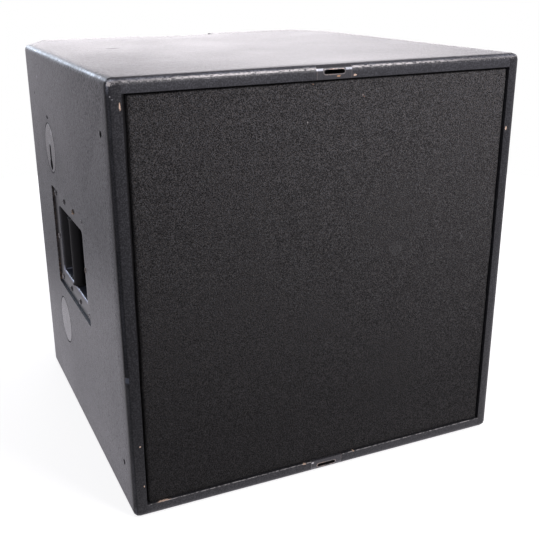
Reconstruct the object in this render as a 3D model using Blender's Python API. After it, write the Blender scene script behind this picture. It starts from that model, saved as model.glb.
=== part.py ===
"""Bass reflex loudspeaker cabinet with one 460 mm cone driver behind a foam-faced front grille.

Lengths are in metres. The front faces -Y, +X is on the right for someone who looks at the front, +Z is up.
The origin is on the floor, under the middle of the box.
"""

import math

import bmesh
import bpy
from mathutils import Matrix, Vector

# Carcass
WIDTH = 0.580
HEIGHT = 0.580
DEPTH = 0.625
BOARD = 0.018
EDGE_RADIUS = 0.009
REAR_BEVEL_ACROSS = 0.040
REAR_BEVEL_ALONG = 0.090
SEAT_GAP = 0.0003
GLUE_LINE = 0.00005
OVERCUT = 0.004

# Front grille and foam
FOAM_SUNK = 0.003
FOAM_MARGIN = 0.0023
FOAM_THICKNESS = 0.010
GRILLE_SHEET = 0.0015
GRILLE_MARGIN = 0.0006
GRILLE_FLANGE = 0.036
GRILLE_HOLES_ACROSS = 7
GRILLE_HOLE_RADIUS = 0.028
GRILLE_HOLE_PITCH = 0.072
GRILLE_SCREW_BACK = 0.0375
GRILLE_SCREW_SPREAD = 0.444
GRILLE_SCREW_SUNK = 0.0015

# Baffle and corner ports
BAFFLE_BACK = 0.060
PORT_LEG = 0.150
PORT_BOARD = 0.012
PORT_LENGTH = 0.240

# Window brace
BRACE_BACK = 0.450
BRACE_SIDE_RAIL = 0.070
BRACE_END_RAIL = 0.070
BRACE_MIDDLE_RAIL = 0.060

# Driver frame
FLANGE_RADIUS = 0.2325
FLANGE_THICKNESS = 0.010
GASKET_THICKNESS = 0.003
FRAME_RADIUS = 0.2105
FRAME_WALL = 0.004
FRAME_RIM_DEPTH = 0.032
FRAME_HOLE_CLEARANCE = 0.001
SPIDER_SEAT_DEPTH = 0.098
SPIDER_SEAT_RADIUS = 0.106
SPIDER_SEAT_WIDTH = 0.014
FRAME_DEPTH = 0.128
FRAME_BACK_PLATE = 0.006
FRAME_WINDOWS = 12
FRAME_WINDOW_WIDTH = 0.052
FRAME_WINDOW_RISE = 0.026
BOLT_COUNT = 8
BOLT_CIRCLE_RADIUS = 0.2220
BOLT_RADIUS = 0.003
BOLT_LENGTH = 0.032
BOLT_HEAD_RADIUS = 0.005
BOLT_HEAD_HEIGHT = 0.006

# Motor
COIL_FORMER_RADIUS = 0.0497
COIL_FORMER_WALL = 0.0006
COIL_FORMER_LENGTH = 0.072
COIL_WINDING_WALL = 0.0020
COIL_WINDING_LENGTH = 0.020
COIL_INNER_CLEARANCE = 0.0012
COIL_OUTER_CLEARANCE = 0.0015
TOP_PLATE_RADIUS = 0.100
TOP_PLATE_THICKNESS = 0.012
MAGNET_RADIUS = 0.110
MAGNET_BORE_RADIUS = 0.062
MAGNET_THICKNESS = 0.028
BACK_PLATE_THICKNESS = 0.012
POLE_VENT_RADIUS = 0.018

# Cone, dust cap, surround and spider
CONE_RADIUS = 0.186
CONE_WALL = 0.002
CONE_EDGE_DEPTH = 0.002
CONE_NECK_DEPTH = 0.082
CONE_FLARE = 1.25
DUST_CAP_RADIUS = 0.074
DUST_CAP_WALL = 0.0015
DUST_CAP_RISE = 0.022
SURROUND_WALL = 0.0012
SURROUND_LIP = 0.008
SURROUND_ROLL_RISE = 0.007
SURROUND_ROLLS = 2
SPIDER_WALL = 0.0010
SPIDER_WAVE = 0.003
SPIDER_WAVES = 3

# Driver terminals and internal lead
TERMINAL_WIDE = 0.036
TERMINAL_LONG = 0.020
TERMINAL_TALL = 0.018
TERMINAL_DEPTH = 0.106
LEAD_RADIUS = 0.0035
LEAD_STRAIGHT = 0.030
LEAD_SAG = 0.035
LEAD_SPACING = 0.0175
LEAD_STEPS = 2

# Bar handles
HANDLE_BACK = 0.291
HANDLE_RISE = 0.290
HANDLE_PLATE_LONG = 0.217
HANDLE_PLATE_TALL = 0.163
HANDLE_PLATE_CORNER = 0.004
HANDLE_OPENING_LONG = 0.162
HANDLE_OPENING_TALL = 0.108
HANDLE_OPENING_CORNER = 0.006
HANDLE_SUNK = 0.0035
HANDLE_SHEET = 0.0015
HANDLE_DISH_DEPTH = 0.070
GRIP_RADIUS = 0.0125
GRIP_SUNK = 0.002
HANDLE_SCREW_COLUMNS = 4
HANDLE_SCREW_PITCH = 0.0615
HANDLE_SCREW_ROW_RISE = 0.071
HANDLE_SCREW_HEAD_RADIUS = 0.0042
HANDLE_SCREW_HEAD_HEIGHT = 0.0022

# Flying keyhole and blanking disc
DISC_BACK = 0.378
DISC_RADIUS = 0.038
DISC_THICKNESS = 0.005
KEYHOLE_RISE = 0.4345
BLANK_RISE = 0.145
KEYHOLE_CUP_DEPTH = 0.030
KEYHOLE_CUP_WALL = 0.002
KEYHOLE_FLANGE_RADIUS = 0.050
KEYHOLE_FLANGE_THICKNESS = 0.003
KEYHOLE_WIDE_RADIUS = 0.0095
KEYHOLE_NARROW_RADIUS = 0.0055
KEYHOLE_WIDE_DROP = 0.0255
KEYHOLE_NARROW_LIFT = 0.0010

# Slotted catch plates in the front rim, top and bottom
CATCH_WIDE = 0.050
CATCH_PLATE = 0.004
CATCH_WING = 0.031
CATCH_WING_CROWN = 0.008
CATCH_INNER_CHAMFER = 0.002
CATCH_SLOT_LONG = 0.030
CATCH_SLOT_TALL = 0.0055
CATCH_POCKET_LONG = 0.034
CATCH_POCKET_TALL = 0.009
CATCH_POCKET_DEPTH = 0.024

# Slotted link plates in the rear edge, top and bottom
LINK_WIDE = 0.140
LINK_PLATE = 0.003
LINK_SUNK = 0.0025
LINK_WING = 0.034
LINK_WING_CROWN = 0.008
LINK_DROP = 0.045
LINK_CORNER_CHAMFER = 0.005
LINK_SLOT_LONG = 0.030
LINK_SLOT_TALL = 0.006
LINK_SLOT_DROP = 0.026
LINK_POCKET_MARGIN = 0.002
LINK_POCKET_DEPTH = 0.008

# Rear connector plate
PLATE_RISE = 0.150
PLATE_WIDE = 0.160
PLATE_TALL = 0.090
PLATE_THICKNESS = 0.0025
PLATE_SUNK = 0.004
PLATE_CUTOUT_WIDE = 0.112
PLATE_CUTOUT_TALL = 0.050
PLATE_SCREW_INSET = 0.009
PLATE_SCREW_HEAD_RADIUS = 0.0035
PLATE_SCREW_HEAD_HEIGHT = 0.0020
PLATE_SCREW_RADIUS = 0.0016
PLATE_SCREW_LENGTH = 0.012
SOCKET_SPREAD = 0.060
SOCKET_FLANGE_WIDE = 0.026
SOCKET_FLANGE_TALL = 0.031
SOCKET_FLANGE_THICKNESS = 0.0025
SOCKET_RADIUS = 0.0118
SOCKET_BORE_RADIUS = 0.0096
SOCKET_BORE_DEPTH = 0.022
SOCKET_LENGTH = 0.032

# Grille screws, which pass through the side panels
SIDE_SCREW_HEAD_RADIUS = 0.0042
SIDE_SCREW_HEAD_HEIGHT = 0.0025
SIDE_SCREW_RADIUS = 0.0022
SIDE_SCREW_TIP = 0.004

# Share of a screw head's height that its crown takes
SCREW_CROWN = 0.45

# Facets
EDGE_STEPS = 3
TURN_STEPS = 28
DISC_STEPS = 24
SMALL_STEPS = 12
SCREW_STEPS = 8
CORNER_STEPS = 2
CROWN_STEPS = 6
WAVE_STEPS = 4
SHARP_ANGLE = math.radians(35)

# Places worked out from the sizes above
FRONT = -DEPTH / 2
REAR = DEPTH / 2
DRIVER_RISE = HEIGHT / 2
INNER_HALF_WIDTH = WIDTH / 2 - BOARD
FRAME_FACE = FRONT + BAFFLE_BACK - 2 * SEAT_GAP - GASKET_THICKNESS - FLANGE_THICKNESS
GRILLE_FACE = FRONT + FOAM_SUNK + FOAM_THICKNESS + SEAT_GAP
BAFFLE_HOLE_RADIUS = FRAME_RADIUS + FRAME_HOLE_CLEARANCE
COIL_OUTER_RADIUS = COIL_FORMER_RADIUS + COIL_FORMER_WALL + COIL_WINDING_WALL
POLE_RADIUS = COIL_FORMER_RADIUS - COIL_INNER_CLEARANCE
MOTOR_GAP_RADIUS = COIL_OUTER_RADIUS + COIL_OUTER_CLEARANCE

# Colour, metallic and roughness of each finish
FINISHES = {
    "textured_paint": ((0.055, 0.055, 0.060), 0.0, 0.55),
    "raw_board": ((0.42, 0.29, 0.17), 0.0, 0.80),
    "foam": ((0.030, 0.030, 0.032), 0.0, 0.95),
    "painted_steel": ((0.060, 0.060, 0.065), 0.3, 0.45),
    "rigging_steel": ((0.16, 0.16, 0.17), 0.4, 0.40),
    "zinc_screw": ((0.30, 0.29, 0.27), 0.9, 0.35),
    "cast_alloy": ((0.33, 0.33, 0.34), 0.9, 0.45),
    "ferrite": ((0.045, 0.045, 0.045), 0.0, 0.60),
    "plated_steel": ((0.50, 0.50, 0.48), 1.0, 0.30),
    "cone_paper": ((0.050, 0.050, 0.050), 0.0, 0.85),
    "doped_cloth": ((0.035, 0.035, 0.035), 0.0, 0.60),
    "coil_winding": ((0.62, 0.36, 0.14), 0.8, 0.40),
    "gasket_foam": ((0.020, 0.020, 0.020), 0.0, 0.90),
    "moulded_nylon": ((0.030, 0.030, 0.032), 0.0, 0.40),
    "cable_jacket": ((0.025, 0.025, 0.025), 0.0, 0.50),
}


# Shapes


def clear_scene():
    for item in list(bpy.data.objects):
        bpy.data.objects.remove(item, do_unlink=True)


def finish(name):
    """The material of one finish, made when a piece first asks for it."""
    material = bpy.data.materials.get(name)
    if material:
        return material
    colour, metallic, roughness = FINISHES[name]
    material = bpy.data.materials.new(name)
    material.use_nodes = True
    shader = material.node_tree.nodes["Principled BSDF"]
    shader.inputs["Base Color"].default_value = (*colour, 1.0)
    shader.inputs["Metallic"].default_value = metallic
    shader.inputs["Roughness"].default_value = roughness
    return material


def linked(name, mesh):
    item = bpy.data.objects.new(name, mesh)
    bpy.context.scene.collection.objects.link(item)
    return item


def piece(name, mesh, finish_name, smooth=False):
    """A piece of the cabinet. A turned piece is shaded smooth up to its sharp edges."""
    mesh.materials.clear()
    mesh.materials.append(finish(finish_name))
    if smooth:
        mesh.shade_smooth()
        mesh.set_sharp_from_angle(angle=SHARP_ANGLE)
    return linked(name, mesh)


def helper(name, mesh):
    """A shape that only cuts or trims others."""
    item = linked(name, mesh)
    item.hide_render = True
    item.display_type = "WIRE"
    return item


def combine(target, other, operation):
    modifier = target.modifiers.new(f"{operation.lower()} {other.name}", "BOOLEAN")
    modifier.operation = operation
    modifier.solver = "EXACT"
    modifier.object = other


def cut(target, *others):
    for other in others:
        combine(target, other, "DIFFERENCE")


def closed_mesh(name, form):
    """A mesh from an edited form, with its faces turned outwards."""
    bmesh.ops.recalc_face_normals(form, faces=form.faces)
    mesh = bpy.data.meshes.new(name)
    form.to_mesh(mesh)
    form.free()
    return mesh


def prism(name, outline, low, high, axis="Z"):
    """An outline extruded along an axis. Its pairs are (x, y) for Z, (x, z) for Y and (y, z) for X."""
    place = {
        "X": lambda a, b, c: (c, a, b),
        "Y": lambda a, b, c: (a, c, b),
        "Z": lambda a, b, c: (a, b, c),
    }[axis]
    form = bmesh.new()
    rings = [[form.verts.new(place(a, b, c)) for a, b in outline] for c in (low, high)]
    for index in range(len(outline)):
        after = (index + 1) % len(outline)
        form.faces.new((rings[0][index], rings[0][after], rings[1][after], rings[1][index]))
    for ring in rings:
        form.faces.new(ring)
    return closed_mesh(name, form)


def block(name, low, high):
    outline = rectangle((low[0] + high[0]) / 2, (low[1] + high[1]) / 2, high[0] - low[0], high[1] - low[1])
    return prism(name, outline, low[2], high[2])


def rectangle(middle_a, middle_b, wide, tall, corner=0.0):
    """A rectangle, with its corners rounded where a corner radius is given."""
    outline = []
    for quarter, (side_a, side_b) in enumerate(((1, 1), (-1, 1), (-1, -1), (1, -1))):
        centre_a = middle_a + side_a * (wide / 2 - corner)
        centre_b = middle_b + side_b * (tall / 2 - corner)
        steps = CORNER_STEPS if corner else 0
        for step in range(steps + 1):
            angle = math.radians(90) * (quarter + (step / steps if steps else 0))
            outline.append((centre_a + corner * math.cos(angle), centre_b + corner * math.sin(angle)))
    return outline


def circle(middle_a, middle_b, radius, steps):
    turns = [math.tau * (step + 0.5) / steps for step in range(steps)]
    return [(middle_a + radius * math.cos(turn), middle_b + radius * math.sin(turn)) for turn in turns]


def turned(name, profile, middle, direction, steps):
    """A closed profile of (radius, distance along) pairs turned about an axis through middle."""
    axis = Vector(direction).normalized()
    turn = axis.to_track_quat("Z", "Y").to_matrix().to_4x4()
    place = Matrix.Translation(Vector(middle)) @ turn
    form = bmesh.new()
    rings = []
    for radius, along in profile:
        if radius == 0:
            rings.append([form.verts.new(place @ Vector((0, 0, along)))] * steps)
            continue
        rings.append(
            [
                form.verts.new(place @ Vector((radius * math.cos(angle), radius * math.sin(angle), along)))
                for angle in (math.tau * (step + 0.5) / steps for step in range(steps))
            ]
        )
    for index, ring in enumerate(rings):
        other = rings[(index + 1) % len(rings)]
        if ring[0] is ring[1] and other[0] is other[1]:
            continue
        for step in range(steps):
            after = (step + 1) % steps
            corners = [ring[step], ring[after], other[after], other[step]]
            form.faces.new(list(dict.fromkeys(corners)))
    return closed_mesh(name, form)


def rod(name, middle, direction, radius, length, steps):
    """A plain round bar that starts at middle and runs along direction."""
    profile = [(0, 0), (radius, 0), (radius, length), (0, length)]
    return turned(name, profile, middle, direction, steps)


def screw_profile(head_radius, head_height, shank_radius, shank_length):
    """A domed head whose seat is at distance 0, with its shank beyond it."""
    return [
        (0, -head_height),
        (head_radius * (1 - SCREW_CROWN / 2), -head_height),
        (head_radius, -head_height * (1 - SCREW_CROWN)),
        (head_radius, 0),
        (shank_radius, 0),
        (shank_radius, shank_length),
        (0, shank_length),
    ]


# Carcass


def wall_path():
    """The outer plan line of the five upright walls, from the front left corner round the back."""
    half = WIDTH / 2
    return [
        (-half, FRONT),
        (-half, REAR - REAR_BEVEL_ALONG),
        (-half + REAR_BEVEL_ACROSS, REAR),
        (half - REAR_BEVEL_ACROSS, REAR),
        (half, REAR - REAR_BEVEL_ALONG),
        (half, FRONT),
    ]


def inner_normal(start, end):
    along = (Vector(end) - Vector(start)).normalized()
    return Vector((along.y, -along.x))


def moved_in(path, distance):
    """The path moved towards the inside of the box by a distance, mitred at its corners."""
    result = []
    for index, point in enumerate(path):
        before = inner_normal(path[index - 1], point) if index else None
        after = inner_normal(point, path[index + 1]) if index + 1 < len(path) else None
        first, second = before or after, after or before
        bisector = (first + second).normalized()
        result.append(tuple(Vector(point) + bisector * (distance / bisector.dot(first))))
    return result


def envelope():
    """The outside of the finished box, with every outer edge rounded over."""
    form = bmesh.new()
    form.from_mesh(prism("envelope base", wall_path(), 0, HEIGHT))
    bmesh.ops.bevel(
        form,
        geom=form.edges[:],
        offset=EDGE_RADIUS,
        offset_type="OFFSET",
        segments=EDGE_STEPS,
        profile=0.5,
        affect="EDGES",
        clamp_overlap=True,
    )
    return helper("outer envelope", closed_mesh("outer envelope", form))


def wall(name, index, outside):
    """One upright wall of the box: its block, trimmed by the rounded outside."""
    path = wall_path()
    outer = moved_in(path, -OVERCUT)
    inner = moved_in(path, BOARD)
    along = (Vector(path[index + 1]) - Vector(path[index])).normalized()
    start_shift = along * (GLUE_LINE / 2 if index else -OVERCUT)
    end_shift = along * (GLUE_LINE / -2 if index + 2 < len(path) else OVERCUT)
    outline = [
        Vector(outer[index]) + start_shift,
        Vector(outer[index + 1]) + end_shift,
        Vector(inner[index + 1]) + end_shift,
        Vector(inner[index]) + start_shift,
    ]
    panel = piece(name, prism(name, outline, -OVERCUT, HEIGHT + OVERCUT), "textured_paint")
    combine(panel, outside, "INTERSECT")
    return panel


def lid(name, low, high, outside):
    """The top or bottom board, which lies between the upright walls."""
    path = moved_in(wall_path(), BOARD + GLUE_LINE)
    outline = [(path[0][0], FRONT - OVERCUT), *path[1:-1], (path[-1][0], FRONT - OVERCUT)]
    board = piece(name, prism(name, outline, low, high), "textured_paint")
    combine(board, outside, "INTERSECT")
    return board


def carcass(outside):
    names = ("left_panel", "rear_left_bevel_panel", "rear_panel", "rear_right_bevel_panel", "right_panel")
    boards = {name: wall(name, index, outside) for index, name in enumerate(names)}
    boards["bottom_panel"] = lid("bottom_panel", -OVERCUT, BOARD, outside)
    boards["top_panel"] = lid("top_panel", HEIGHT - BOARD, HEIGHT + OVERCUT, outside)
    return boards


def baffle():
    """The driver board: its corners are cut off where the ports pass."""
    half = INNER_HALF_WIDTH - SEAT_GAP
    low = BOARD + SEAT_GAP
    high = HEIGHT - BOARD - SEAT_GAP
    leg = PORT_LEG - SEAT_GAP
    outline = [
        (-half + leg, low),
        (half - leg, low),
        (half, low + leg),
        (half, high - leg),
        (half - leg, high),
        (-half + leg, high),
        (-half, high - leg),
        (-half, low + leg),
    ]
    front = FRONT + BAFFLE_BACK
    board = piece("front_baffle", prism("front_baffle", outline, front, front + BOARD, "Y"), "textured_paint")
    middle = (0, front - OVERCUT, DRIVER_RISE)
    hole = rod("baffle hole", middle, (0, 1, 0), BAFFLE_HOLE_RADIUS, BOARD + 2 * OVERCUT, TURN_STEPS)
    cut(board, helper("baffle hole", hole))
    return board


def port_boards():
    """Four boards that cross the inner corners and make triangular ports behind the baffle."""
    near = PORT_LEG - SEAT_GAP
    far = PORT_LEG + PORT_BOARD * math.sqrt(2) - SEAT_GAP
    low = FRONT + BAFFLE_BACK + BOARD + SEAT_GAP
    for side, side_name in ((-1, "left"), (1, "right")):
        for bottom, height_name in ((True, "lower"), (False, "upper")):
            outline = []
            for across, up in ((SEAT_GAP, near), (near, SEAT_GAP), (far, SEAT_GAP), (SEAT_GAP, far)):
                rise = BOARD + up if bottom else HEIGHT - BOARD - up
                outline.append((side * (INNER_HALF_WIDTH - across), rise))
            name = f"port_board_{height_name}_{side_name}"
            piece(name, prism(name, outline, low, low + PORT_LENGTH, "Y"), "raw_board")


def window_brace():
    """A frame across the box that ties its four long walls together."""
    wide = 2 * (INNER_HALF_WIDTH - SEAT_GAP)
    tall = HEIGHT - 2 * (BOARD + SEAT_GAP)
    low = FRONT + BRACE_BACK
    frame = prism("window_brace", rectangle(0, HEIGHT / 2, wide, tall), low, low + BOARD, "Y")
    frame = piece("window_brace", frame, "raw_board")
    window_wide = WIDTH - 2 * (BOARD + BRACE_SIDE_RAIL)
    window_tall = (HEIGHT - 2 * (BOARD + BRACE_END_RAIL) - BRACE_MIDDLE_RAIL) / 2
    for name, side in (("lower brace window", -1), ("upper brace window", 1)):
        middle = HEIGHT / 2 + side * (BRACE_MIDDLE_RAIL + window_tall) / 2
        outline = rectangle(0, middle, window_wide, window_tall)
        cut(frame, helper(name, prism(name, outline, low - OVERCUT, low + BOARD + OVERCUT, "Y")))


# Front grille


def grille(boards):
    """The punched steel tray, the foam on its face, and the four screws through the side panels."""
    half = INNER_HALF_WIDTH - GRILLE_MARGIN
    low = BOARD + GRILLE_MARGIN
    high = HEIGHT - BOARD - GRILLE_MARGIN
    back = GRILLE_FACE + GRILLE_SHEET
    channel = [
        (-half, GRILLE_FACE),
        (half, GRILLE_FACE),
        (half, GRILLE_FACE + GRILLE_FLANGE),
        (half - GRILLE_SHEET, GRILLE_FACE + GRILLE_FLANGE),
        (half - GRILLE_SHEET, back),
        (-half + GRILLE_SHEET, back),
        (-half + GRILLE_SHEET, GRILLE_FACE + GRILLE_FLANGE),
        (-half, GRILLE_FACE + GRILLE_FLANGE),
    ]
    tray = piece("grille_tray", prism("grille_tray", channel, low, high), "painted_steel")
    form = bmesh.new()
    for column in range(GRILLE_HOLES_ACROSS):
        for row in range(GRILLE_HOLES_ACROSS):
            across = (column - (GRILLE_HOLES_ACROSS - 1) / 2) * GRILLE_HOLE_PITCH
            up = HEIGHT / 2 + (row - (GRILLE_HOLES_ACROSS - 1) / 2) * GRILLE_HOLE_PITCH
            hole = prism("hole", circle(across, up, GRILLE_HOLE_RADIUS, 6), GRILLE_FACE - OVERCUT, back + OVERCUT, "Y")
            form.from_mesh(hole)
    cut(tray, helper("grille holes", closed_mesh("grille holes", form)))
    foam_half = INNER_HALF_WIDTH - FOAM_MARGIN
    foam_low = (-foam_half, FRONT + FOAM_SUNK, BOARD + FOAM_MARGIN)
    foam_high = (foam_half, FRONT + FOAM_SUNK + FOAM_THICKNESS, HEIGHT - BOARD - FOAM_MARGIN)
    piece("grille_foam", block("grille_foam", foam_low, foam_high), "foam")
    grille_screws(boards, tray)


def grille_screws(boards, tray):
    shank = WIDTH / 2 - GRILLE_SCREW_SUNK - SIDE_SCREW_HEAD_HEIGHT - half_inside_grille() + SIDE_SCREW_TIP
    for side, side_name in ((-1, "left"), (1, "right")):
        for lift, height_name in ((-1, "lower"), (1, "upper")):
            rise = HEIGHT / 2 + lift * GRILLE_SCREW_SPREAD / 2
            seat = side * (WIDTH / 2 - GRILLE_SCREW_SUNK - SIDE_SCREW_HEAD_HEIGHT)
            middle = (seat, FRONT + GRILLE_SCREW_BACK, rise)
            inwards = (-side, 0, 0)
            name = f"grille_screw_{height_name}_{side_name}"
            profile = screw_profile(SIDE_SCREW_HEAD_RADIUS, SIDE_SCREW_HEAD_HEIGHT, SIDE_SCREW_RADIUS, shank)
            piece(name, turned(name, profile, middle, inwards, SCREW_STEPS), "zinc_screw", smooth=True)
            outer = (side * (WIDTH / 2 + OVERCUT), middle[1], rise)
            sink = OVERCUT + GRILLE_SCREW_SUNK + SIDE_SCREW_HEAD_HEIGHT + SEAT_GAP
            head_room = SIDE_SCREW_HEAD_RADIUS + SEAT_GAP
            shank_room = SIDE_SCREW_RADIUS + SEAT_GAP
            depth = BOARD * 2
            stepped = [
                (0, 0),
                (head_room, 0),
                (head_room, sink),
                (shank_room, sink),
                (shank_room, depth),
                (0, depth),
            ]
            hole = helper(f"{name} hole", turned(f"{name} hole", stepped, outer, inwards, SCREW_STEPS))
            cut(boards[f"{side_name}_panel"], hole)
            cut(tray, hole)


def half_inside_grille():
    return INNER_HALF_WIDTH - GRILLE_MARGIN - GRILLE_SHEET


# Driver


def driver_turned(name, profile, finish_name, steps=TURN_STEPS):
    """A piece turned about the driver's axis, with distances counted back from the frame's front face."""
    middle = (0, FRAME_FACE, DRIVER_RISE)
    return piece(name, turned(name, profile, middle, (0, 1, 0), steps), finish_name, smooth=True)


def driver_frame(board):
    """The cast frame with its windows, its gasket and the bolts that hold it to the baffle."""
    seat_outer = SPIDER_SEAT_RADIUS + SPIDER_SEAT_WIDTH
    back_radius = SPIDER_SEAT_RADIUS + FRAME_WALL
    profile = [
        (FLANGE_RADIUS, 0),
        (FLANGE_RADIUS, FLANGE_THICKNESS),
        (FRAME_RADIUS, FLANGE_THICKNESS),
        (FRAME_RADIUS, FRAME_RIM_DEPTH + FRAME_WALL / 2),
        (seat_outer + FRAME_WALL, SPIDER_SEAT_DEPTH),
        (seat_outer + FRAME_WALL, SPIDER_SEAT_DEPTH + FRAME_WALL),
        (back_radius, SPIDER_SEAT_DEPTH + FRAME_WALL),
        (back_radius, FRAME_DEPTH),
        (MOTOR_GAP_RADIUS + FRAME_WALL, FRAME_DEPTH),
        (MOTOR_GAP_RADIUS + FRAME_WALL, FRAME_DEPTH - FRAME_BACK_PLATE),
        (SPIDER_SEAT_RADIUS, FRAME_DEPTH - FRAME_BACK_PLATE),
        (SPIDER_SEAT_RADIUS, SPIDER_SEAT_DEPTH),
        (seat_outer, SPIDER_SEAT_DEPTH),
        (FRAME_RADIUS - FRAME_WALL, FRAME_RIM_DEPTH),
        (FRAME_RADIUS - FRAME_WALL, 0),
    ]
    frame = driver_turned("driver_frame", profile, "cast_alloy")
    gasket_profile = [
        (FLANGE_RADIUS, FLANGE_THICKNESS + SEAT_GAP),
        (FLANGE_RADIUS, FLANGE_THICKNESS + SEAT_GAP + GASKET_THICKNESS),
        (BAFFLE_HOLE_RADIUS, FLANGE_THICKNESS + SEAT_GAP + GASKET_THICKNESS),
        (BAFFLE_HOLE_RADIUS, FLANGE_THICKNESS + SEAT_GAP),
    ]
    gasket = driver_turned("driver_gasket", gasket_profile, "gasket_foam")
    cut(frame, frame_windows())
    bolt_holes = bmesh.new()
    for index in range(BOLT_COUNT):
        angle = math.tau * (index + 0.5) / BOLT_COUNT
        across = BOLT_CIRCLE_RADIUS * math.cos(angle)
        up = DRIVER_RISE + BOLT_CIRCLE_RADIUS * math.sin(angle)
        name = f"driver_bolt_{index + 1}"
        profile = screw_profile(BOLT_HEAD_RADIUS, BOLT_HEAD_HEIGHT, BOLT_RADIUS, BOLT_LENGTH)
        middle = (across, FRAME_FACE - SEAT_GAP, up)
        piece(name, turned(name, profile, middle, (0, 1, 0), SCREW_STEPS), "zinc_screw", smooth=True)
        start = (across, FRAME_FACE - OVERCUT, up)
        length = OVERCUT + BOLT_LENGTH + OVERCUT
        bolt_holes.from_mesh(rod("hole", start, (0, 1, 0), BOLT_RADIUS + SEAT_GAP, length, SCREW_STEPS))
    holes = helper("driver bolt holes", closed_mesh("driver bolt holes", bolt_holes))
    for drilled in (frame, gasket, board):
        cut(drilled, holes)


def frame_windows():
    """Openings between the spokes of the frame, cut square to the cone's wall."""
    seat_outer = SPIDER_SEAT_RADIUS + SPIDER_SEAT_WIDTH
    middle_radius = (seat_outer + FRAME_RADIUS) / 2
    middle_depth = (SPIDER_SEAT_DEPTH + FRAME_RIM_DEPTH) / 2
    slope = math.atan2(FRAME_RADIUS - seat_outer, SPIDER_SEAT_DEPTH - FRAME_RIM_DEPTH)
    wall_length = math.hypot(FRAME_RADIUS - seat_outer, SPIDER_SEAT_DEPTH - FRAME_RIM_DEPTH)
    form = bmesh.new()
    for index in range(FRAME_WINDOWS):
        half_wide = FRAME_WINDOW_WIDTH / 2
        half_long = wall_length / 2 - FRAME_WINDOW_RISE / 2
        low = (-half_wide, -half_long, -FRAME_WALL * 2)
        high = (half_wide, half_long, FRAME_WALL * 2)
        opening = block("window", low, high)
        place = (
            Matrix.Translation((0, FRAME_FACE + middle_depth, DRIVER_RISE))
            @ Matrix.Rotation(math.tau * index / FRAME_WINDOWS, 4, "Y")
            @ Matrix.Translation((0, 0, middle_radius))
            @ Matrix.Rotation(-slope, 4, "X")
        )
        opening.transform(place)
        form.from_mesh(opening)
    return helper("frame windows", closed_mesh("frame windows", form))


def cone_front(radius):
    """Depth of the cone's front surface at a radius: a gently flared line from its edge to its neck."""
    neck = COIL_FORMER_RADIUS + COIL_FORMER_WALL + SEAT_GAP
    share = (CONE_RADIUS - radius) / (CONE_RADIUS - neck)
    return CONE_EDGE_DEPTH + (CONE_NECK_DEPTH - CONE_EDGE_DEPTH) * share ** CONE_FLARE


def cone_set():
    """The moving pieces: cone, dust cap and voice coil. Their origins are on the axis that they slide along."""
    neck = COIL_FORMER_RADIUS + COIL_FORMER_WALL + SEAT_GAP
    radii = [CONE_RADIUS + (neck - CONE_RADIUS) * step / CROWN_STEPS for step in range(CROWN_STEPS + 1)]
    front_line = [(radius, cone_front(radius)) for radius in radii]
    back_line = [(radius, cone_front(radius) + CONE_WALL) for radius in reversed(radii)]
    cone = driver_turned("cone", front_line + back_line, "cone_paper")
    edge = cone_front(DUST_CAP_RADIUS) - SEAT_GAP - DUST_CAP_WALL
    cap_line = []
    for step in range(CROWN_STEPS + 1):
        radius = DUST_CAP_RADIUS * step / CROWN_STEPS
        cap_line.append((radius, edge - DUST_CAP_RISE * (1 - (radius / DUST_CAP_RADIUS) ** 2)))
    cap_back = [(radius, depth + DUST_CAP_WALL) for radius, depth in reversed(cap_line)]
    cap = driver_turned("dust_cap", cap_line + cap_back, "cone_paper")
    bottom = CONE_NECK_DEPTH + COIL_FORMER_LENGTH - CONE_WALL
    former = COIL_FORMER_RADIUS + COIL_FORMER_WALL
    winding_low = FRAME_DEPTH + SEAT_GAP + (TOP_PLATE_THICKNESS - COIL_WINDING_LENGTH) / 2
    coil_profile = [
        (COIL_FORMER_RADIUS, CONE_NECK_DEPTH - CONE_WALL),
        (former, CONE_NECK_DEPTH - CONE_WALL),
        (former, winding_low),
        (COIL_OUTER_RADIUS, winding_low),
        (COIL_OUTER_RADIUS, winding_low + COIL_WINDING_LENGTH),
        (former, winding_low + COIL_WINDING_LENGTH),
        (former, bottom),
        (COIL_FORMER_RADIUS, bottom),
    ]
    coil = driver_turned("voice_coil", coil_profile, "coil_winding")
    for moving in (cone, cap, coil):
        set_origin(moving, (0, FRAME_FACE, DRIVER_RISE))


def set_origin(item, point):
    """Moves an object's origin to a point and leaves its shape where it is."""
    item.data.transform(Matrix.Translation(-Vector(point)))
    item.location = point


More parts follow.
